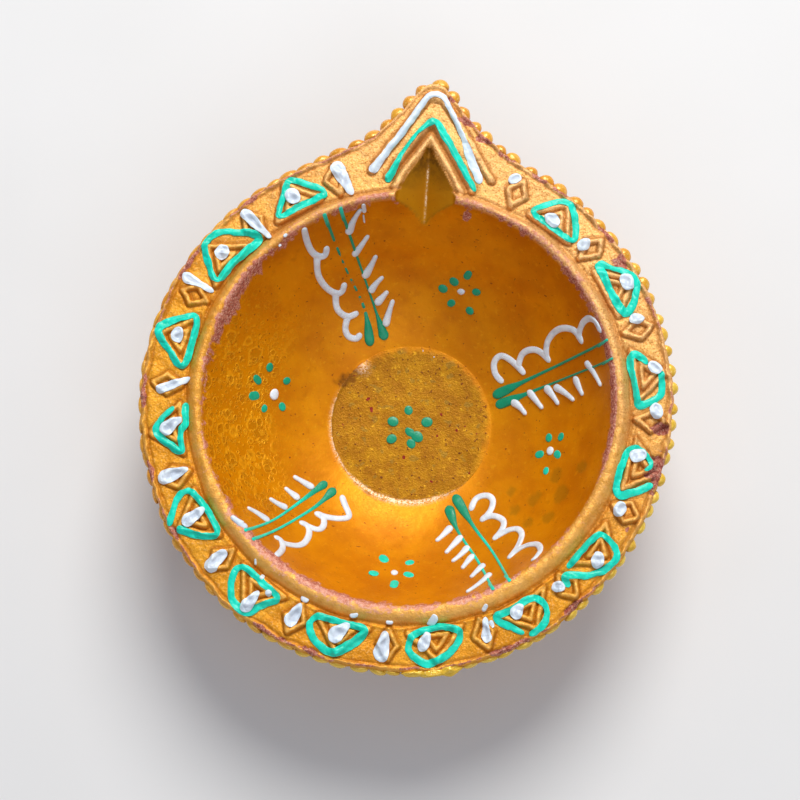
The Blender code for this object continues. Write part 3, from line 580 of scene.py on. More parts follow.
def wall_rows():
    """Rows down the inner wall, at even angles about its arc's centre."""
    azimuths = even_azimuths(WALL_COLUMNS)
    mouth_angle = math.atan2(MOUTH_RADIUS - ARC_X, ARC_Z - MOUTH_HEIGHT)
    floor_angle = math.atan2(FLOOR_RADIUS - ARC_X, ARC_Z - FLOOR_HEIGHT)
    rows = []
    for step in range(1, WALL_STEPS + 1):
        angle = mouth_angle + (floor_angle - mouth_angle) * step / WALL_STEPS
        radius, height = ARC_X + ARC_RADIUS * math.sin(angle), ARC_Z - ARC_RADIUS * math.cos(angle)
        x, y = plan(azimuths, np.full(azimuths.shape, radius))
        push, bubbly, blotch = wall_marks(x, y, np.full(x.shape, height))
        push = push * ramp(radius, FLOOR_RADIUS, FLOOR_RADIUS + 2)
        radii = radius - push * math.sin(angle)
        x, y = plan(azimuths, radii + mouth_shift(azimuths, radius))
        z = height + push * math.cos(angle)
        channel = channel_height(x, y)
        in_channel = ramp(z - channel, -0.05, 0.1)
        z = np.minimum(z, channel)
        dark, line = channel_darkening_and_highlight(x, y, in_channel)
        # Painted highlights: the band in the corner and the channel's bottom line.
        pale_and_highlight = np.maximum(corner_highlight(x, y), line)
        masks = masks_like(x, bowl=np.ones(x.shape), crest=pale_and_highlight, floor=0.5 * pale_and_highlight, bubbly=bubbly)
        masks["bare"] = lip_wear(x, y, radii) * (1 - in_channel)
        masks["blotch"] = np.maximum(blotch, 0.8 * in_channel)
        masks["scuff"] = np.maximum(dark, corner_crust(x, y))
        rows.append((x, y, z, masks))
    return rows


def corner_crust(x, y):
    """A brown crust in the floor's corner at the upper left."""
    crust_x, crust_y = plan(148.5, 12.6)
    turn = math.radians(36)
    along = (x - crust_x) * math.cos(turn) + (y - crust_y) * math.sin(turn)
    across = (y - crust_y) * math.cos(turn) - (x - crust_x) * math.sin(turn)
    away = np.hypot(along / 1.6, across / 0.8) + 0.5 * rough(x, y, 0, 0.8, 3, 85)
    return 0.9 * (1 - ramp(away, 0.7, 1.3))


def corner_highlight(x, y):
    """A painted highlight in the corner between wall and floor: wide at the bottom and thin at the left."""
    radius, azimuth = polar(x, y)
    bottom = sector(azimuth, -97, 46, 4)
    left = sector(azimuth, 190, 30, 4)
    width = 0.08 + 0.55 * bottom + 0.14 * left
    middle = 12.85 - 0.18 * bottom
    away = np.abs(radius - middle + 0.12 * noise(x, y, 0, 1.2, 83)) / width
    return np.maximum(bottom, left) * (1 - ramp(away, 0.6, 1.1))


def floor_rows():
    """Rows of the bowl's floor, whose colour fades into the wall's at the upper right."""
    azimuths = even_azimuths(OUTSIDE_COLUMNS)
    rows = []
    pimple_x, pimple_y = plan(FLOOR_PIMPLE[1], FLOOR_PIMPLE[0])
    wander = 0.1 * noise(*plan(azimuths, 12.0), 0, 5.0, 81)
    for radius in FLOOR_RADII:
        x, y = plan(azimuths, radius + wander)
        upper_right = ramp(np.cos(np.radians(azimuths - 55)), -0.2, 0.5)
        reach = 0.55 + 4.5 * upper_right
        faded = 0.8 * upper_right * ramp(radius + 0.35 * rough(x, y, 0, 1.3, 3, 86), 11.5, 12.8)
        z = FLOOR_HEIGHT - FLOOR_STEP * ramp((12.75 - radius) / reach, 0, 1)
        z = z + 0.07 * rough(x, y, 0, 3.0, 3, 82) * ramp(12.3 - radius, 0, 2)
        bump = bell(np.hypot(x - pimple_x, y - pimple_y), 0.85)
        z = z + 0.25 * bump
        # The pale band in the corner is a painted highlight, with a little roughness in its surface.
        corner_glint = corner_highlight(x, y)
        z = z + 0.07 * corner_glint * rough(x, y, 0, 0.7, 2, 84)
        pale_and_highlight = np.maximum(np.clip(1.25 * bump, 0, 1), corner_glint)
        masks = masks_like(x, bowl=np.ones(x.shape), crest=pale_and_highlight, floor=1 - faded, scuff=corner_crust(x, y))
        rows.append((x, y, z, masks))
    return rows


def new_object(name, mesh):
    piece = bpy.data.objects.new(name, mesh)
    bpy.context.scene.collection.objects.link(piece)
    return piece


def finish_mesh(name, bm):
    """A smooth-shaded object from a bmesh, which is then freed."""
    mesh = bpy.data.meshes.new(name)
    bm.to_mesh(mesh)
    bm.free()
    mesh.shade_smooth()
    return new_object(name, mesh)


def stitch(bm, outer, inner):
    """Joins two rings of vertices. The outer one has as many as the inner one, or twice as many."""
    count = len(inner)
    if len(outer) == count:
        for index in range(count):
            beside = (index + 1) % count
            bm.faces.new((outer[index], outer[beside], inner[beside], inner[index]))
        return
    for index in range(count):
        beside = (index + 1) % count
        first, middle, last = outer[2 * index], outer[2 * index + 1], outer[(2 * index + 2) % len(outer)]
        bm.faces.new((first, middle, inner[index]))
        bm.faces.new((middle, inner[beside], inner[index]))
        bm.faces.new((middle, last, inner[beside]))


def add_masks(mesh, masks):
    """Stores the masks as two colour attributes of four channels."""
    for attribute_name, names in MASK_GROUPS.items():
        attribute = mesh.color_attributes.new(attribute_name, "FLOAT_COLOR", "POINT")
        values = np.stack([masks[name] for name in names], axis=1).astype(np.float32)
        attribute.data.foreach_set("color", values.ravel())


def double_up(row):
    """A row with twice as many places, halfway between the old ones."""
    x, y, z, masks = row

    def fill(values):
        out = np.empty(2 * len(values))
        out[0::2] = values
        out[1::2] = (values + np.roll(values, -1)) / 2
        return out

    return fill(x), fill(y), fill(z), {name: fill(values) for name, values in masks.items()}


def make_clay():
    """The clay's closed skin: rings up the outside, over the rim and down to the floor's middle."""
    outside = outside_rows()
    twice = double_up(outside[-1])
    rows = [*outside, twice, double_up(twice), *rim_rows(), *wall_rows(), *floor_rows()]
    bm = bmesh.new()
    foot_centre = bm.verts.new((0, 0, FOOT_SECTION[0][1] * MM))
    rings = [[bm.verts.new((a * MM, b * MM, c * MM)) for a, b, c in zip(x, y, z)] for x, y, z, _ in rows]
    gathered = [masks for _, _, _, masks in rows]
    floor_centre = bm.verts.new((0, 0, FLOOR_HEIGHT * MM))
    for outer, inner in zip(rings, rings[1:]):
        if len(outer) >= len(inner):
            stitch(bm, outer, inner)
        else:
            stitch(bm, inner, outer)
    for centre, ring in ((foot_centre, rings[0]), (floor_centre, rings[-1])):
        for index in range(len(ring)):
            bm.faces.new((centre, ring[index], ring[(index + 1) % len(ring)]))
    one = np.ones(1)
    gathered = [masks_like(one, bare=one), *gathered, masks_like(one, bowl=one, floor=one)]
    bmesh.ops.recalc_face_normals(bm, faces=bm.faces)
    piece = finish_mesh("clay_skin", bm)
    joined = {name: np.concatenate([masks[name] for masks in gathered]) for name in gathered[0]}
    add_masks(piece.data, joined)
    return piece


# Height of the fine clay on an even plan grid, for laying paint on

GRID_STEP = 0.15
GRID_LOW = (-43.0, -43.0)
GRID_COUNT = (574, 634)


def rim_height_grids():
    x = GRID_LOW[0] + GRID_STEP * np.arange(GRID_COUNT[0])
    y = GRID_LOW[1] + GRID_STEP * np.arange(GRID_COUNT[1])
    grid_x, grid_y = (part.ravel() for part in np.meshgrid(x, y, indexing="ij"))
    top, _ = rim_surface(grid_x, grid_y)
    top = np.minimum(top, channel_height(grid_x, grid_y)).reshape(GRID_COUNT)
    soft = top.copy()
    for _ in range(6):
        for axis in (0, 1):
            soft = 0.5 * soft + 0.25 * (np.roll(soft, 1, axis) + np.roll(soft, -1, axis))
    return top, soft


def sample_grid(grid, x, y):
    u = np.clip((x - GRID_LOW[0]) / GRID_STEP, 0, GRID_COUNT[0] - 2)
    v = np.clip((y - GRID_LOW[1]) / GRID_STEP, 0, GRID_COUNT[1] - 2)
    i, j = u.astype(int), v.astype(int)
    s, t = u - i, v - j
    return ((grid[i, j] * (1 - s) + grid[i + 1, j] * s) * (1 - t)
            + (grid[i, j + 1] * (1 - s) + grid[i + 1, j + 1] * s) * t)


# Paint


def fine_copy(name, levels):
    """A welded and subdivided copy of a CAD node, as an object, and its points in millimetres."""
    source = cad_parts[name]
    bm = bmesh.new()
    bm.from_mesh(source.data)
    bmesh.ops.remove_doubles(bm, verts=bm.verts, dist=0.002 * MM)
    bmesh.ops.join_triangles(bm, faces=bm.faces, angle_face_threshold=0.9, angle_shape_threshold=3.0)
    mesh = bpy.data.meshes.new(name + "_paint")
    bm.to_mesh(mesh)
    bm.free()
    coarse = new_object(name + "_paint", mesh)
    subdivision = coarse.modifiers.new("smooth", "SUBSURF")
    subdivision.levels = subdivision.render_levels = levels
    depsgraph = bpy.context.evaluated_depsgraph_get()
    fine_mesh = bpy.data.meshes.new_from_object(coarse.evaluated_get(depsgraph))
    coarse.modifiers.clear()
    coarse.data = fine_mesh
    bpy.data.meshes.remove(mesh)
    points = np.empty(3 * len(fine_mesh.vertices))
    fine_mesh.vertices.foreach_get("co", points)
    return coarse, points.reshape(-1, 3) / MM


def vertex_normals(mesh):
    normals = np.empty(3 * len(mesh.vertices))
    mesh.vertex_normals.foreach_get("vector", normals)
    return normals.reshape(-1, 3)


def set_points(piece, points):
    piece.data.vertices.foreach_set("co", (points * MM).ravel())
    piece.data.update()
    piece.data.shade_smooth()


# How much wider the strokes are than the CAD's, and how high the piped paint stands before it flattens
LINE_SWELL, DROP_SWELL, SCALLOP_SWELL, STEM_END_SWELL = 0.06, 0.17, 0.20, 0.26
LINE_CEILING, DROP_CEILING = 0.50, 0.46
LINE_WAVE, DROP_WAVE = 0.11, 0.13
DASHED_STEM, DASH_LENGTH = "sprig_1_stem_a", 1.25


def flatten(rise, ceiling):
    """Wet paint sinks to a nearly flat top."""
    return ceiling * np.tanh(rise / ceiling)


def add_middle(piece, middle):
    """Stores how far each point is in the sunken middle of a stroke, for painted shade there."""
    attribute = piece.data.color_attributes.new("middle", "FLOAT_COLOR", "POINT")
    attribute.data.foreach_set("color", np.repeat(middle.astype(np.float32), 4))


def lay_rim_paint(name, clay_top, clay_soft, seed):
    """Paint on the flange: follows the clay, with sunken feet and a flat, slightly furrowed top."""
    piece, points = fine_copy(name, 3)
    normals = vertex_normals(piece.data)
    is_drop = "drop" in name
    if is_drop:
        swell, ceiling, wave = DROP_SWELL, DROP_CEILING, DROP_WAVE
    else:
        swell, ceiling, wave = LINE_SWELL, LINE_CEILING, LINE_WAVE
    points[:, :2] += swell * normals[:, :2]
    x, y = points[:, 0].copy(), points[:, 1].copy()
    for axis in (0, 1):
        bend = wave * noise(x, y, 0, 1.5, seed + 5 + axis) + 0.07 * noise(x, y, 0, 0.6, seed + 7 + axis)
        points[:, axis] += bend
    x, y, z = points.T
    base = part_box(name)[0].z / MM
    over = base - (FLANGE_TOP + 0.51)
    rise = np.clip(z - base, 0, None)
    highest = float(rise.max())
    middle = ramp(rise / highest, 0.86, 0.99) if is_drop else np.zeros(rise.shape)
    lump = rough(x, y, 0, 1.5, 2, seed)
    furrow = (1 - np.abs(noise(x, y, 0, 1.4, seed + 3))) ** 6
    crown = flatten(rise, ceiling) * (1 + 0.12 * lump) - 0.12 * middle - 0.10 * furrow * (rise > 0.2)
    crown = sample_grid(clay_soft, x, y) + over * 0.6 + crown
    clay = sample_grid(clay_top, x, y)
    share = ramp(rise, 0.0, 0.16)
    points[:, 2] = (clay - 0.15) * (1 - share) + np.maximum(crown, clay + 0.14) * share
    set_points(piece, points)
    # The sunken middle is darkened in the material as painted shade.
    add_middle(piece, middle)
    return piece


def lay_wall_paint(name, seed):
    """Paint on the bowl's wall: the CAD's gap is closed along the wall's normal."""
    piece, points = fine_copy(name, 2)
    normals = vertex_normals(piece.data)
    radius = np.hypot(points[:, 0], points[:, 1])
    if name.endswith("scallops"):
        swell = np.full(radius.shape, SCALLOP_SWELL)
    else:
        swell = STEM_END_SWELL * ramp(18.5 - radius, 0, 2.5)
    points += swell[:, None] * normals
    x, y, z = points.T
    radius = np.hypot(x, y)
    azimuth = np.degrees(np.arctan2(y, x))
    angle = np.arctan2(radius - ARC_X, ARC_Z - z)
    from_wall = ARC_RADIUS - np.hypot(radius - ARC_X, ARC_Z - z)
    arc_x, arc_y = plan(azimuth, ARC_X + ARC_RADIUS * np.sin(angle))
    push, _, _ = wall_marks(arc_x, arc_y, ARC_Z - ARC_RADIUS * np.cos(angle))
    rise = (from_wall - WALL_PAINT_GAP) * (0.75 + 0.15 * rough(x, y, z, 1.0, 2, seed)) + push - 0.06
    if name == DASHED_STEM:
        gap = ramp(np.sin(2 * math.pi * radius / DASH_LENGTH), 0.25, 0.6) * ramp(radius, 18.5, 19.5)
        rise = rise - 0.5 * gap * ramp(29.0 - radius, 0, 0.5)
    streak = np.zeros(radius.shape)
    if name.endswith("scallops"):
        streak = ramp(rise / float(rise.max()), 0.70, 0.92) * ramp(noise(x, y, z, 3.0, seed + 1), -0.1, 0.3)
        rise = rise - 0.14 * streak
    new_radius = ARC_X + (ARC_RADIUS - rise) * np.sin(angle)
    new_radius = new_radius + mouth_shift(azimuth, ARC_X + ARC_RADIUS * np.sin(angle))
    points[:, 0], points[:, 1] = plan(azimuth, new_radius)
    points[:, 2] = ARC_Z - (ARC_RADIUS - rise) * np.cos(angle)
    set_points(piece, points)
    # The furrows are darkened in the material as painted shade.
    add_middle(piece, 0.8 * streak)
    return piece


HALF_ROUND = tuple((-0.5 * math.cos(math.pi * step / 6), math.sin(math.pi * step / 6)) for step in range(7))


def clay_place(radius, azimuth):
    """A point on the floor, the inner wall or the rim, and the normal there."""
    upright = Vector((0, 0, 1))
    if radius > MOUTH_RADIUS:
        if radius < LIP_FOOT_RADIUS:
            radius = LIP_FOOT_RADIUS - (LIP_FOOT_RADIUS - radius) * lip_squeeze(azimuth)
        x, y = plan(azimuth, radius)
        top, _ = rim_surface(np.array([x]), np.array([y]))
        return Vector((x, y, top[0])), upright
    if radius < FLOOR_RADIUS:
        return Vector((*plan(azimuth, radius), FLOOR_HEIGHT - FLOOR_STEP)), upright
    height = wall_height(radius)
    inward, upward = (ARC_X - radius) / ARC_RADIUS, (ARC_Z - height) / ARC_RADIUS
    normal = Vector((*plan(azimuth, inward), upward)).normalized()
    return Vector((*plan(azimuth, radius + mouth_shift(azimuth, radius)), height)), normal


def add_stroke(bm, stations):
    """A closed half-round stroke through stations of (point, normal, width, height), with sunken feet."""
    rings = []
    last = len(stations) - 1
    for index, (point, normal, width, height) in enumerate(stations):
        forward = (stations[min(index + 1, last)][0] - stations[max(index - 1, 0)][0]).normalized()
        side = normal.cross(forward).normalized()
        ring = [bm.verts.new((point + side * (across * width) + normal * (up * height)) * MM)
                for across, up in HALF_ROUND]
        ring.append(bm.verts.new((point + side * (0.3 * width) - normal * 0.15) * MM))
        ring.append(bm.verts.new((point - side * (0.3 * width) - normal * 0.15) * MM))
        rings.append(ring)
    for here, there in zip(rings, rings[1:]):
        for corner in range(len(here)):
            beyond = (corner + 1) % len(here)
            bm.faces.new((here[corner], here[beyond], there[beyond], there[corner]))
    bm.faces.new(rings[0])
    bm.faces.new(list(reversed(rings[-1])))


def wall_stroke(bm, start, end, start_width, end_width, height, bend=0.0):
    """A stroke on the wall between two (radius, azimuth) places, with round ends."""
    steps = 14
    first, _ = clay_place(*start)
    last, _ = clay_place(*end)
    length = (last - first).length
    stations = []
    for step in range(steps + 1):
        share = 0.5 - 0.5 * math.cos(math.pi * step / steps)
        radius = start[0] + (end[0] - start[0]) * share
        azimuth = start[1] + (end[1] - start[1]) * share + bend * math.sin(math.pi * share)
        point, normal = clay_place(radius, azimuth)
        width = start_width + (end_width - start_width) * min(1.0, 1.35 * share)
        from_start, from_end = share * length, (1 - share) * length
        for reach, end_radius in ((from_start, start_width / 2), (from_end, end_width / 2)):
            if reach < end_radius:
                width *= max(0.12, math.sqrt(1 - (1 - reach / end_radius) ** 2))
        stations.append((point, normal, width, height * min(1.0, 0.35 + width / start_width)))
    add_stroke(bm, stations)


def stroke_object(name, bm):
    bmesh.ops.recalc_face_normals(bm, faces=bm.faces)
    piece = finish_mesh(name, bm)
    subdivision = piece.modifiers.new("smooth", "SUBSURF")
    subdivision.levels = subdivision.render_levels = 1
    return piece


# Widths and heights of the small strokes
TICK_HEAD, TICK_TAIL, TICK_HEIGHT = 1.62, 0.85, 0.42
STEM_END_START, STEM_END_STOP, STEM_END_HEIGHT = 29.7, 31.1, 0.2
FLOWER_DOT, FLOOR_DOT, DOT_HEIGHT = (1.42, 1.08), (1.75, 1.25), 0.19
MIDDLE_HEAD, MIDDLE_TAIL, MIDDLE_HEIGHT = 2.1, 1.6, 0.36
SPECK_HEIGHT = 0.28
# White ticks beside each sprig's stems, as head (radius, azimuth) and tail (radius, azimuth)
TICKS = (
    (((28.6, 113.5), (30.3, 108.1)), ((26.5, 114.1), (28.1, 107.5)), ((23.5, 112.8), (25.9, 106.3)),
     ((21.4, 112.0), (23.1, 105.2)), ((19.6, 111.2), (21.1, 104.4)), ((16.2, 109.2), (19.8, 102.6))),
    (((16.4, 17.1), (18.3, 7.9)), ((19.2, 19.3), (20.9, 9.2)), ((21.8, 18.2), (23.3, 9.3)),
     ((23.1, 16.8), (25.6, 9.2)), ((26.2, 17.2), (26.9, 10.0)), ((28.0, 19.9), (29.2, 10.7))),
    (((17.8, -64.1), (19.6, -73.6)), ((20.0, -61.5), (22.0, -70.9)), ((22.1, -61.1), (23.7, -69.5)),
     ((23.8, -60.9), (25.4, -66.9)), ((26.1, -59.3), (27.4, -65.4)), ((28.1, -59.3), (29.8, -68.4))),
    (((18.5, -140.3), (20.4, -149.5)), ((21.4, -139.1), (22.4, -146.1)), ((23.8, -138.2), (25.3, -144.2)),
     ((27.3, -136.7), (28.8, -143.3)), ((30.5, -137.2), (31.4, -142.0))),
)
# Flowers on the wall: the dots' places and the white middle's head and tail
FLOWERS = (
    (((23.4, 164.7), (24.5, 171.0), (20.5, 166.7), (24.5, 177.2), (20.3, 178.4), (22.9, -179.1)),
     ((21.9, 176.5), (21.6, 171.8))),
    (((24.3, 72.6), (22.9, 77.0), (21.6, 80.8), (22.7, 67.2), (20.0, 75.7), (20.0, 66.6)),
     ((22.3, 73.6), (21.6, 72.6))),
    (((21.9, -3.5), (23.7, -3.2), (21.0, -10.8), (23.7, -10.2), (22.8, -17.2)),
     ((22.1, -9.8), (22.9, -8.0))),
    (((22.5, -95.6), (25.3, -97.8), (22.8, -85.4), (24.9, -85.6), (26.7, -90.2)),
     ((24.7, -92.0), (24.7, -89.4))),
)
FLOOR_DOTS = (
    (2.4, 104.0), (2.9, 172.8), (2.6, 14.2), (3.8, -139.4), (1.0, -77.2), (2.1, -52.8),
    (3.0, -82.8),
)
# Touches of white: radius, azimuth, direction of the long side, length, width
WHITE_SPECKS = (
    (33.3, -112.6, 160, 1.3, 0.9), (33.0, -99.3, 10, 1.3, 0.7), (33.2, -90.0, 0, 1.1, 0.55),
    (33.0, -65.2, 60, 1.2, 0.6), (34.2, -124.7, 80, 1.0, 0.7), (33.0, -79.1, 50, 1.9, 1.2),
    (35.4, -121.0, 110, 1.1, 0.8), (33.1, -128.5, 95, 0.9, 0.3), (30.3, 107.3, 100, 0.7, 0.55),
    (29.5, 107.9, 100, 0.6, 0.25), (31.2, 130.6, 40, 0.7, 0.45), (30.6, 133.4, 40, 0.5, 0.35),
    (12.2, 85.5, 90, 0.4, 0.25), (11.6, 76.1, 30, 0.3, 0.25), (35.6, -65.0, 110, 1.2, 0.6),
)
# Each sprig's stems where they reach the lip: azimuth and width
STEM_TIPS = (
    ((118.4, 0.70), (113.6, 0.65)), ((22.0, 0.45), (16.6, 0.40)), ((-56.2, 0.6), (-61.3, 0.6)),
    ((-136.5, 0.6), (-133.2, 0.6)),
)


def make_ticks(number, ticks):
    bm = bmesh.new()
    for index, (head, tail) in enumerate(ticks):
        head_width = TICK_HEAD + 0.15 * math.sin(3.1 * index + number)
        bend = 0.6 * math.sin(2.3 * index + number)
        wall_stroke(bm, head, tail, head_width, TICK_TAIL, TICK_HEIGHT, bend)
    return stroke_object(f"sprig_{number}_ticks", bm)


def add_blob(bm, radius, azimuth, direction, length, width, height):
    """A flat blob at a polar place, longer along a plan direction in degrees."""
    x, y = plan(azimuth, radius)
    step_x, step_y = plan(direction, length / 2)
    start, end = (polar(x + side * step_x, y + side * step_y) for side in (-1, 1))
    end = (end[0], start[1] + turn_between(end[1], start[1]))
    wall_stroke(bm, start, end, 1.45 * width, 1.3 * width, height)


def make_flower_dots(name, dots, length, width):
    """Dots round a flower's middle, each a little longer towards it."""
    bm = bmesh.new()
    places = [plan(azimuth, radius) for radius, azimuth in dots]
    middle_x, middle_y = (sum(part) / len(dots) for part in zip(*places))
    for index, ((radius, azimuth), (x, y)) in enumerate(zip(dots, places)):
        _, direction = polar(x - middle_x, y - middle_y)
        direction += 16 * math.sin(4.0 * index + radius)
        size = 1 + 0.12 * math.sin(7.0 * index + 2 * radius)
        add_blob(bm, radius, azimuth, direction, length * size, width * size, DOT_HEIGHT)
    return stroke_object(name, bm)


def make_flower_middle(name, head, tail):
    bm = bmesh.new()
    wall_stroke(bm, head, tail, MIDDLE_HEAD, MIDDLE_TAIL, MIDDLE_HEIGHT)
    return stroke_object(name, bm)


def make_specks():
    """Stray touches of white beside the drops and on the lip."""
    bm = bmesh.new()
    for index, speck in enumerate(WHITE_SPECKS):
        add_blob(bm, *speck, SPECK_HEIGHT + 0.04 * math.sin(3.0 * index))
    return stroke_object("white_specks", bm)


def make_stem_ends(number, tips):
    """The stems' last few millimetres, up on to the lip."""
    bm = bmesh.new()
    for azimuth, width in tips:
        start, stop = (STEM_END_START, azimuth), (STEM_END_STOP, azimuth)
        wall_stroke(bm, start, stop, width, width, STEM_END_HEIGHT)
    return stroke_object(f"sprig_{number}_stem_ends", bm)


# Beads


def rim_walk(samples=2880):
    """Azimuth, x, y and distance walked, all along the rim."""
    azimuths = np.linspace(0, 360, samples + 1)
    x, y = plan(azimuths, rim_radius(azimuths))
    steps = np.hypot(np.diff(x), np.diff(y))
    return azimuths, x, y, np.concatenate([[0.0], np.cumsum(steps)])


def make_beads():
    """A ring of uneven beads. Each vertex stores the bead's own chance and how far out and along it is."""
    _, rim_x, rim_y, walked = rim_walk()
    count = round(walked[-1] / BEAD_PITCH)
    bm = bmesh.new()
    tone = bm.verts.layers.float_color.new("tone")
    for bead in range(count):
        chance = [float(lattice(np.int64(bead), np.int64(2), np.int64(4), seed)) for seed in range(91, 98)]
        target = walked[-1] * (bead + 0.14 * chance[0]) / count % walked[-1]
        x, y = float(np.interp(target, walked, rim_x)), float(np.interp(target, walked, rim_y))
        ahead_x = float(np.interp(target + 0.5, walked, rim_x))
        ahead_y = float(np.interp(target + 0.5, walked, rim_y))
        along = Vector((ahead_x - x, ahead_y - y, 0)).normalized()
        outward = Vector((along.y, -along.x, 0))
        azimuth = math.degrees(math.atan2(y, x))
        half_length, stand_out, half_height = (float(edge_sector(azimuth, column))
                                               for column in (BEAD_LENGTH, BEAD_OUT, BEAD_HEIGHT))
        half_length *= 1 + 0.12 * chance[1]
        stand_out *= 1 + 0.16 * chance[2]
        lean = 0.22 * chance[3]
        twist = 0.14 * chance[6]
        centre = Vector((x, y, FLANGE_TOP - BEAD_DROP - 0.1 + 0.12 * chance[4])) - outward * 0.05
        ball = bmesh.ops.create_uvsphere(bm, u_segments=24, v_segments=16, radius=1.0)
        for vertex in ball["verts"]:
            u, v, w = vertex.co
            fold = 1 + 0.06 * float(noise(u * 1.5 + bead * 3.1, v * 1.5, w * 1.5, 0.9, 98))
            blunt = 1 - 0.12 * u * u
            offset = along * (u * half_length * fold + lean * w)
            offset = offset + outward * (v * stand_out * fold * blunt + twist * u * half_length)
            vertex.co = (centre + offset + Vector((0, 0, w * half_height * fold + lean * u * 0.5))) * MM
            vertex[tone] = (0.5 + 0.5 * chance[5], 0.5 + 0.5 * v, abs(u), 1.0)
    add_edge_lump(bm, tone)
    return finish_mesh("rim_beads", bm)


# A smear of clay and paint over the beads at the bottom: azimuth, half length, half width
EDGE_LUMPS = ((-84.0, 1.8, 0.60), (-80.6, 2.1, 0.80), (-76.6, 1.7, 0.95))


def add_edge_lump(bm, tone):
    for number, (azimuth, half_length, half_width) in enumerate(EDGE_LUMPS):
        radius = float(rim_radius(azimuth)) + 0.15
        x, y = plan(azimuth, radius)
        along = Vector((-math.sin(math.radians(azimuth)), math.cos(math.radians(azimuth)), 0))
        outward = Vector((math.cos(math.radians(azimuth)), math.sin(math.radians(azimuth)), 0))
        centre = Vector((float(x), float(y), FLANGE_TOP - 0.75))
        ball = bmesh.ops.create_uvsphere(bm, u_segments=32, v_segments=20, radius=1.0)
        for vertex in ball["verts"]:
            u, v, w = vertex.co
            fold = 1 + 0.22 * float(rough(u * 1.6 + 5 * number, v * 1.6, w * 1.6, 1.0, 3, 99))
            offset = along * (u * half_length) + outward * (v * half_width) + Vector((0, 0, w * 0.85))
            vertex.co = (centre + offset * fold) * MM
            vertex[tone] = (0.35, 0.9, 0.2, 1.0)


# Materials


def set_inputs(tree, node, inputs):
    """Links a node's inputs to sockets, or sets them to plain values."""
    for key, value in inputs.items():
        if isinstance(value, bpy.types.NodeSocket):
            tree.links.new(value, node.inputs[key])
        else:
            node.inputs[key].default_value = value


def add_node(tree, kind, inputs, **settings):
    node = tree.nodes.new(kind)
    for name, value in settings.items():
        setattr(node, name, value)
    set_inputs(tree, node, inputs)
    return node


def stored_color(tree, name):
    """Outputs of a colour attribute."""
    return add_node(tree, "ShaderNodeVertexColor", {}, layer_name=name).outputs


def math_node(tree, operation, *values):
    node = add_node(tree, "ShaderNodeMath", dict(enumerate(values)), operation=operation)
    return node.outputs[0]


def vector_node(tree, operation, *values):
    node = add_node(tree, "ShaderNodeVectorMath", dict(enumerate(values)), operation=operation)
    return node.outputs[0]


def times(tree, first, second):
    return math_node(tree, "MULTIPLY", first, second)


def times_plus(tree, first, second, added):
    return math_node(tree, "MULTIPLY_ADD", first, second, added)


def mix_color(tree, factor, first, second, amount=1.0):
    """Goes from the first colour to the second by factor times amount.

    The colours are sockets or (red, green, blue).
    """
    share = factor if amount == 1.0 else times(tree, factor, amount)
    full = [(*color, 1.0) if isinstance(color, tuple) else color for color in (first, second)]
    return add_node(tree, "ShaderNodeMix", {0: share, 6: full[0], 7: full[1]}, data_type="RGBA").outputs[2]


def split_parts(tree, vector):
    """The three parts of a colour or a vector."""
    kind = "ShaderNodeSeparateColor" if vector.type == "RGBA" else "ShaderNodeSeparateXYZ"
    return add_node(tree, kind, {0: vector}).outputs


def stretch(tree, value, low, high):
    """Maps low..high smoothly onto 0..1."""
    node = add_node(tree, "ShaderNodeMapRange", {0: value, 1: low, 2: high, 3: 0.0, 4: 1.0},
                    interpolation_type="SMOOTHSTEP")
    return node.outputs[0]


def add_layers(tree, color, *layers):
    """Lays colours over a first one. A layer is (value, low, high, amount, colour).

    It starts where the value is low and is fullest where the value is high.
    """
    for value, low, high, amount, layer_color in layers:
        color = mix_color(tree, stretch(tree, value, low, high), color, layer_color, amount)
    return color


def noise_value(tree, place, size, detail=2.0, roughness=0.5):
    """Noise from 0 to 1 whose blobs are about size millimetres across."""
    node = add_node(tree, "ShaderNodeTexNoise",
                    {"Vector": place, "Scale": 1 / (size * MM), "Detail": detail, "Roughness": roughness})
    return node.outputs["Fac"]


def bubble_rings(tree, place, size):
    """Rings of uneven size round scattered points: 1 on a ring, and 1 inside it, as two sockets."""
    per_metre = 1 / (size * MM)
    bend = add_node(tree, "ShaderNodeTexNoise", {"Vector": place, "Scale": per_metre / 0.7, "Detail": 2.0})
    reach = (size * MM * 0.55,) * 3
    bend = vector_node(tree, "MULTIPLY", bend.outputs["Color"], reach)
    bent = vector_node(tree, "ADD", place, bend)
    node = add_node(tree, "ShaderNodeTexVoronoi", {"Vector": bent, "Scale": per_metre})
    chance = split_parts(tree, node.outputs["Color"])[0]
    ring_radius = times_plus(tree, chance, 0.40, 0.10)
    away = math_node(tree, "SUBTRACT", node.outputs["Distance"], ring_radius)
    ring = stretch(tree, math_node(tree, "ABSOLUTE", away), 0.11, 0.02)
    inside = stretch(tree, away, 0.0, -0.06)
    return ring, inside


def new_material(name):
    material = bpy.data.materials.new(name)
    material.use_nodes = True
    tree = material.node_tree
    principled = tree.nodes["Principled BSDF"]
    place = add_node(tree, "ShaderNodeTexCoord", {}).outputs["Object"]
    return material, tree, principled, place


def add_bump(tree, height, distance, below=None):
    """A bump as deep as a distance in millimetres, on top of another if there is one."""
    inputs = {"Height": height, "Distance": distance * MM, "Strength": 1.0}
    if below is not None:
        inputs["Normal"] = below
    return add_node(tree, "ShaderNodeBump", inputs).outputs["Normal"]


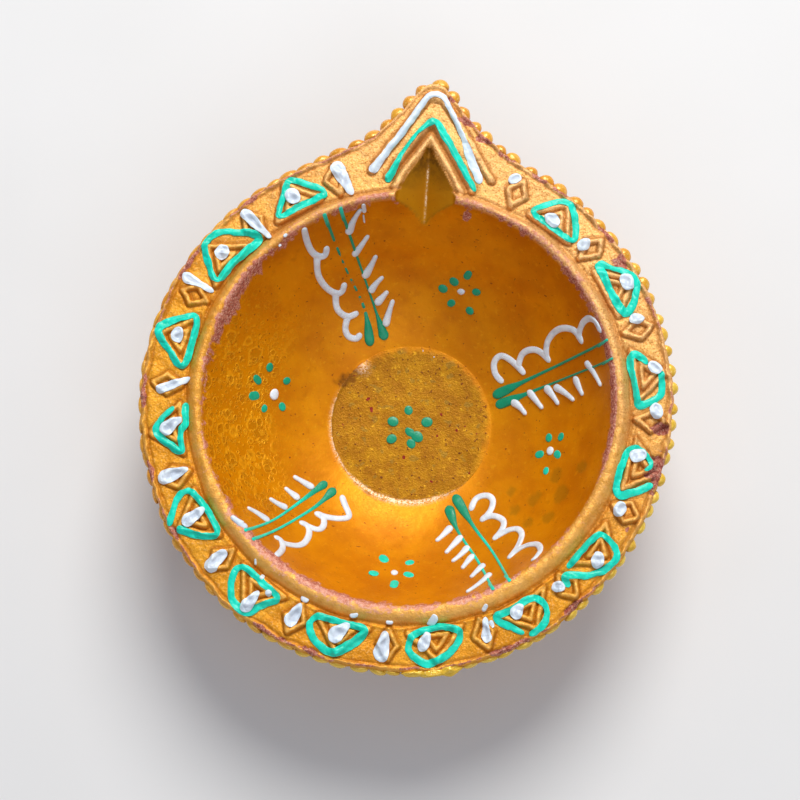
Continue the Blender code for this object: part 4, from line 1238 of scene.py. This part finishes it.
def flange_color(tree, place, grain, crest, scuff):
    """Pearl gold over orange: smooth at the lower left, more granular at the upper right, and paler there
    as a painted reflection.
    """
    cloud = noise_value(tree, place, 4.0, 4, 0.6)
    spot = split_parts(tree, place)
    upper_right = stretch(tree, times_plus(tree, spot["X"], 0.6, spot["Y"]), -0.012, 0.045)
    grainy = times_plus(tree, upper_right, 0.45, 0.30)
    color = mix_color(tree, stretch(tree, cloud, 0.35, 0.65), (0.68, 0.26, 0.010), (0.80, 0.35, 0.022))
    # Painted reflection of the light at the upper right.
    color = mix_color(tree, upper_right, color, (0.91, 0.57, 0.26), 0.50)
    color = add_layers(
        tree, color,
        (grain, 0.49, 0.36, grainy, (0.42, 0.12, 0.003)),
        (grain, 0.54, 0.66, grainy, (1.0, 0.64, 0.28)),
    )
    # Painted highlight: crests of the ridges, the raised edge line, the lip and the rim's side are made
    # paler.
    crest_highlight = mix_color(tree, upper_right, (0.98, 0.53, 0.14), (0.92, 0.50, 0.22))
    color = mix_color(tree, crest, color, crest_highlight, 0.50)
    # Dark brown for the scuffs, and painted shade round the channel's tip.
    return mix_color(tree, scuff, color, (0.34, 0.13, 0.015), 0.6)


def wall_color(tree, place, bubbly, blotch, scuff):
    """Smooth orange-gold, with bubble rings at the left, olive blotches at the right and brown specks."""
    cloud = noise_value(tree, place, 6.0, 4, 0.55)
    patch = noise_value(tree, place, 1.6, 3, 0.6)
    streak = noise_value(tree, place, 0.9, 4, 0.65)
    color = mix_color(tree, stretch(tree, cloud, 0.3, 0.7), (0.61, 0.195, 0.0), (0.75, 0.28, 0.0))
    color = add_layers(
        tree, color,
        (patch, 0.56, 0.75, 0.45, (0.52, 0.16, 0.0)),
        (streak, 0.56, 0.72, 0.35, (0.88, 0.42, 0.01)),
    )
    color = mix_color(tree, bubbly, color, (0.80, 0.36, 0.0), 0.25)
    push = 0.0
    for size, depth in ((3.2, 0.8), (1.5, 0.9), (0.75, 0.7)):
        ring, inside = bubble_rings(tree, place, size)
        here = times(tree, bubbly, depth)
        ring_here = times(tree, ring, here)
        color = mix_color(tree, times(tree, inside, here), color, (0.44, 0.17, 0.002), 0.50)
        color = mix_color(tree, ring_here, color, (0.98, 0.46, 0.01), 0.65)
        push = math_node(tree, "ADD", push, ring_here)
    color = mix_color(tree, blotch, color, (0.33, 0.165, 0.004), 0.65)
    broken = times_plus(tree, stretch(tree, streak, 0.40, 0.60), 0.3, 0.6)
    color = mix_color(tree, scuff, color, (0.11, 0.035, 0.001), broken)
    speck = noise_value(tree, place, 0.6, 1)
    return add_layers(tree, color, (speck, 0.71, 0.77, 0.75, (0.24, 0.06, 0.005))), push


def bottom_color(tree, place, grain, crest, scuff):
    """Olive-brown floor of the bowl, mottled, with grey-green blots, dark specks and pale painted
    highlights.
    """
    cloud = noise_value(tree, place, 3.0, 3, 0.6)
    mottle = noise_value(tree, place, 0.9, 4, 0.7)
    blot = noise_value(tree, place, 1.6, 1, 0.5)
    brown_speck = noise_value(tree, place, 0.6, 2)
    red_speck = noise_value(tree, place, 1.3, 1)
    color = mix_color(tree, stretch(tree, cloud, 0.35, 0.65), (0.38, 0.155, 0.002), (0.47, 0.215, 0.003))
    color = add_layers(
        tree, color,
        (mottle, 0.48, 0.38, 0.45, (0.28, 0.10, 0.001)),
        (blot, 0.63, 0.68, 0.5, (0.27, 0.17, 0.025)),
        (mottle, 0.58, 0.72, 1.0, (0.72, 0.38, 0.015)),
        (brown_speck, 0.63, 0.70, 1.0, (0.17, 0.05, 0.004)),
        (red_speck, 0.74, 0.765, 1.0, (0.24, 0.02, 0.01)),
    )
    color = mix_color(tree, scuff, color, (0.15, 0.04, 0.003), 0.75)
    # Pale colour for the painted highlights in the corner and along the channel, and for the pimple.
    pale_and_highlight = mix_color(tree, stretch(tree, grain, 0.42, 0.56), (0.58, 0.24, 0.03), (1.0, 0.74, 0.50))
    return mix_color(tree, crest, color, pale_and_highlight)


def terracotta_color(tree, place, grain, ragged, crest, hollow):
    """Bare clay: dark red in general; paler and pinker on the lip, where the crest mask lays a painted
    highlight.
    """
    spot = split_parts(tree, place)
    squares = [math_node(tree, "POWER", math_node(tree, "ABSOLUTE", spot[axis]), 2.0) for axis in "XY"]
    from_axis = math_node(tree, "SQRT", math_node(tree, "ADD", *squares))
    on_lip = times(tree, stretch(tree, from_axis, 0.0337, 0.0331), crest)
    shadow = mix_color(tree, on_lip, (0.36, 0.075, 0.05), (0.66, 0.20, 0.13), 0.7)
    lit = mix_color(tree, on_lip, (0.66, 0.23, 0.15), (0.97, 0.47, 0.32), 0.8)
    color = mix_color(tree, stretch(tree, ragged, 0.38, 0.62), shadow, lit)
    color = add_layers(tree, color, (grain, 0.50, 0.62, 0.7, (0.94, 0.58, 0.42)))
    # Painted shade in the hollows.
    return mix_color(tree, hollow, color, (0.16, 0.02, 0.015), 0.35)


def clay_material():
    """Painted clay, from the masks: gold flange, orange bowl, olive floor and bare terracotta; painted
    shade and highlights.
    """
    material, tree, principled, place = new_material("gold_orange_clay")
    first, second = stored_color(tree, "masks_a"), stored_color(tree, "masks_b")
    bare, crest, hollow = split_parts(tree, first["Color"])
    floor, bubbly, blotch = split_parts(tree, second["Color"])
    bowl, scuff = first["Alpha"], second["Alpha"]
    grain = noise_value(tree, place, 0.30, 4, 0.65)

    flange = flange_color(tree, place, grain, crest, scuff)
    wall, rings = wall_color(tree, place, bubbly, blotch, scuff)
    inside = mix_color(tree, floor, wall, bottom_color(tree, place, grain, crest, scuff))
    painted = mix_color(tree, bowl, flange, inside)
    # Painted shade in the hollows beside the ridges, the grooves by the lip and the edge, and the chips.
    painted = mix_color(tree, hollow, painted, (0.33, 0.085, 0.001), 0.70)

    ragged = noise_value(tree, place, 0.7, 5, 0.78)
    uneven = math_node(tree, "SUBTRACT", ragged, 0.5)
    bareness = stretch(tree, times_plus(tree, uneven, 1.5, bare), 0.30, 0.68)
    terracotta = terracotta_color(tree, place, grain, ragged, crest, hollow)

    satin = times_plus(tree, bowl, 0.04, 0.34)
    satin = times_plus(tree, stretch(tree, grain, 0.3, 0.7), 0.14, satin)
    roughness = add_node(tree, "ShaderNodeMix", {0: bareness, 2: satin, 3: 0.85}, data_type="FLOAT")

    fine = math_node(tree, "ADD", noise_value(tree, place, 0.6, 3, 0.65), grain)
    quiet = times_plus(tree, bowl, -0.80, 1.0)
    quiet = times_plus(tree, floor, 0.8, quiet)
    normal = add_bump(tree, times(tree, fine, quiet), 0.075)
    normal = add_bump(tree, rings, 0.08, normal)
    normal = add_bump(tree, times(tree, uneven, bareness), 0.24, normal)
    set_inputs(tree, principled, {
        "Base Color": mix_color(tree, bareness, painted, terracotta),
        "Roughness": roughness.outputs[0],
        "Metallic": times(tree, math_node(tree, "SUBTRACT", 1.0, bareness), 0.35),
        "Specular IOR Level": 0.2,
        "Normal": normal,
    })
    return material


def bead_material():
    """Glossy gold beads: yellower towards the lower right, with painted shade in dark red on each one's
    inner side and ends.
    """
    material, tree, principled, place = new_material("gold_bead_clay")
    chance, outward, along = split_parts(tree, stored_color(tree, "tone")["Color"])
    spot = split_parts(tree, place)
    grain = noise_value(tree, place, 0.3, 3, 0.6)
    cloud = noise_value(tree, place, 1.8, 3)
    worn = stretch(tree, cloud, 0.60, 0.70)
    lower_right = stretch(tree, math_node(tree, "SUBTRACT", spot["X"], spot["Y"]), -0.005, 0.042)
    orange = mix_color(tree, chance, (0.74, 0.29, 0.012), (0.86, 0.42, 0.03))
    yellow = mix_color(tree, chance, (0.80, 0.46, 0.02), (0.90, 0.60, 0.06))
    gold = mix_color(tree, lower_right, orange, yellow)
    gold = add_layers(tree, gold, (grain, 0.56, 0.72, 1.0, (0.95, 0.66, 0.20)))
    gold = mix_color(tree, worn, gold, (0.42, 0.12, 0.03), 0.15)
    # Painted shade where each bead meets the rim and its neighbours.
    beside = times(tree, stretch(tree, along, 0.80, 0.99), 0.7)
    crease_shade = math_node(tree, "MAXIMUM", stretch(tree, outward, 0.56, 0.34), beside)
    set_inputs(tree, principled, {
        "Base Color": mix_color(tree, crease_shade, gold, (0.24, 0.05, 0.008), 0.75),
        "Metallic": 0.2,
        "Roughness": times_plus(tree, worn, 0.25, 0.27),
        "Coat Weight": 0.25,
        "Coat Roughness": 0.2,
        "Normal": add_bump(tree, grain, 0.05, add_bump(tree, cloud, 0.08)),
    })
    return material


def paint_material(name, dark, light, dark_tone_and_shade, roughness, shade):
    """Thick piped paint: streaky, with painted shade in furrows, sunken middles, the bowl's upper wall and
    bottom.
    """
    material, tree, principled, place = new_material(name)
    streak = noise_value(tree, place, 1.3, 3, 0.6)
    fine = noise_value(tree, place, 0.35, 2)
    middle = split_parts(tree, stored_color(tree, "middle")["Color"])[0]
    color = mix_color(tree, stretch(tree, streak, 0.35, 0.65), dark, light)
    color = add_layers(tree, color, (fine, 0.60, 0.74, 0.30, dark_tone_and_shade))
    # Painted shade in sunken middles and furrows.
    color = mix_color(tree, middle, color, dark_tone_and_shade, 0.40)
    # Painted shade: paint on the bowl's upper wall and near its bottom goes towards the dark colour by
    # shade.
    spot = split_parts(tree, place)
    in_bowl = stretch(tree, spot["Z"], 0.0236, 0.0215)
    at_top = times(tree, in_bowl, stretch(tree, spot["Y"], -0.014, 0.006))
    at_bottom = times(tree, stretch(tree, spot["Z"], 0.011, 0.007), 1.1)
    bowl_shade = math_node(tree, "MAXIMUM", at_top, at_bottom)
    set_inputs(tree, principled, {
        "Base Color": mix_color(tree, bowl_shade, color, dark_tone_and_shade, shade),
        "Roughness": times_plus(tree, stretch(tree, streak, 0.4, 0.7), 0.14, roughness),
        "Specular IOR Level": 0.4,
        "Coat Weight": 0.12,
        "Coat Roughness": 0.2,
        "Normal": add_bump(tree, fine, 0.03, add_bump(tree, streak, 0.12)),
    })
    return material


def floor_material():
    material, tree, principled, place = new_material("pale_floor")
    tone = noise_value(tree, place, 30.0, 2)
    color = mix_color(tree, tone, (0.72, 0.715, 0.70), (0.76, 0.755, 0.745))
    set_inputs(tree, principled, {"Base Color": color, "Roughness": 0.75})
    return material


# Scene


def place_piece(piece, material, slot_name, *nodes):
    piece.data.materials.clear()
    piece.data.materials.append(material)
    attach(piece, "root")
    if nodes:
        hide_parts(*nodes)


def place_paint(piece, is_turquoise, paints, *nodes):
    slot_name = "turquoise_paint" if is_turquoise else "white_paint"
    place_piece(piece, paints[slot_name], slot_name, *nodes)


def build_object():
    """All pieces of the lamp: clay and beads, then the CAD's strokes, then the smallest strokes."""
    clay = clay_material()
    turquoise = (0.0, 0.60, 0.42), (0.0, 0.76, 0.56), (0.0, 0.26, 0.13)
    white = (0.66, 0.76, 0.86), (0.76, 0.85, 0.92), (0.46, 0.48, 0.58)
    paints = {
        "turquoise_paint": paint_material("turquoise_piped_paint", *turquoise, roughness=0.36, shade=0.85),
        "white_paint": paint_material("white_piped_paint", *white, roughness=0.32, shade=0.05),
    }
    place_piece(make_clay(), clay, "painted_clay", "clay_body")
    place_piece(make_beads(), bead_material(), "painted_clay", "clay_body")
    clay_top, clay_soft = rim_height_grids()
    for number, name in enumerate(sorted(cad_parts)):
        if name == "clay_body":
            continue
        is_turquoise = "line" in name or "stem" in name or name.endswith("turquoise")
        if name.startswith("sprig"):
            piece = lay_wall_paint(name, 200 + 10 * number)
        else:
            piece = lay_rim_paint(name, clay_top, clay_soft, 200 + 10 * number)
        place_paint(piece, is_turquoise, paints, name)
    for number, (ticks, tips) in enumerate(zip(TICKS, STEM_TIPS), start=1):
        place_paint(make_ticks(number, ticks), False, paints)
        place_paint(make_stem_ends(number, tips), True, paints)
    for number, (dots, middle) in enumerate(FLOWERS, start=1):
        place_paint(make_flower_dots(f"flower_{number}_dots", dots, *FLOWER_DOT), True, paints)
        place_paint(make_flower_middle(f"flower_{number}_middle", *middle), False, paints)
    place_paint(make_flower_dots("floor_dots", FLOOR_DOTS, *FLOOR_DOT), True, paints)
    place_paint(make_specks(), False, paints)


def build_stage():
    bpy.ops.mesh.primitive_plane_add(size=3.0, location=(0, 0, 0))
    ground = bpy.context.object
    ground.name = "pale_floor"
    ground.data.materials.append(floor_material())


def direction_to(azimuth, elevation):
    a, e = math.radians(azimuth), math.radians(elevation)
    return Vector((math.cos(e) * math.cos(a), math.cos(e) * math.sin(a), math.sin(e)))


def aim(thing, target):
    thing.rotation_mode = "QUATERNION"
    thing.rotation_quaternion = (target - thing.location).to_track_quat("-Z", "Y")


LIGHT_TARGET = Vector((0, 0, 0.015))
# Round lights: name, azimuth, elevation, distance, size, power, colour
LIGHTS = (
    ("window", 84, 48, 0.75, 0.42, 5.6, (1.0, 0.98, 0.95)),
    ("fill", -60, 55, 0.9, 0.7, 1.7, (0.98, 0.98, 1.0)),
)


def add_area_light(name, azimuth, elevation, distance, size, energy, color):
    light = bpy.data.lights.new(name, "AREA")
    light.shape, light.size, light.energy, light.color = "DISK", size, energy, color
    lamp = new_object(name, light)
    lamp.location = direction_to(azimuth, elevation) * distance
    aim(lamp, LIGHT_TARGET)


CAMERA_AZIMUTH, CAMERA_ELEVATION, CAMERA_DISTANCE = -78.4, 79.0, 0.330
PICTURE_UP_AZIMUTH = 94.74
CAMERA_TARGET = Vector((0, 0, 0.022))
LENS, SENSOR = 98.1, 36.0
SHIFT = (-0.0104, 0.0056)


def add_camera():
    camera_data = bpy.data.cameras.new("camera")
    camera_data.lens, camera_data.sensor_width = LENS, SENSOR
    camera_data.shift_x, camera_data.shift_y = SHIFT
    camera_data.clip_start, camera_data.clip_end = 0.01, 10.0
    camera = new_object("camera", camera_data)
    back = direction_to(CAMERA_AZIMUTH, CAMERA_ELEVATION)
    right = (-back).cross(direction_to(PICTURE_UP_AZIMUTH, 0)).normalized()
    up = right.cross(-back)
    turn = Matrix((right, up, back)).transposed().to_4x4()
    camera.matrix_world = Matrix.Translation(CAMERA_TARGET + back * CAMERA_DISTANCE) @ turn
    bpy.context.scene.camera = camera


def light_scene():
    scene = bpy.context.scene
    scene.view_settings.view_transform = "Standard"
    world = bpy.data.worlds.new("soft_room")
    world.use_nodes = True
    background = {"Color": (0.80, 0.86, 1.0, 1.0), "Strength": 0.35}
    set_inputs(world.node_tree, world.node_tree.nodes["Background"], background)
    scene.world = world
    for light in LIGHTS:
        add_area_light(*light)


build_object()
build_stage()
light_scene()
add_camera()

bpy.context.view_layer.update()
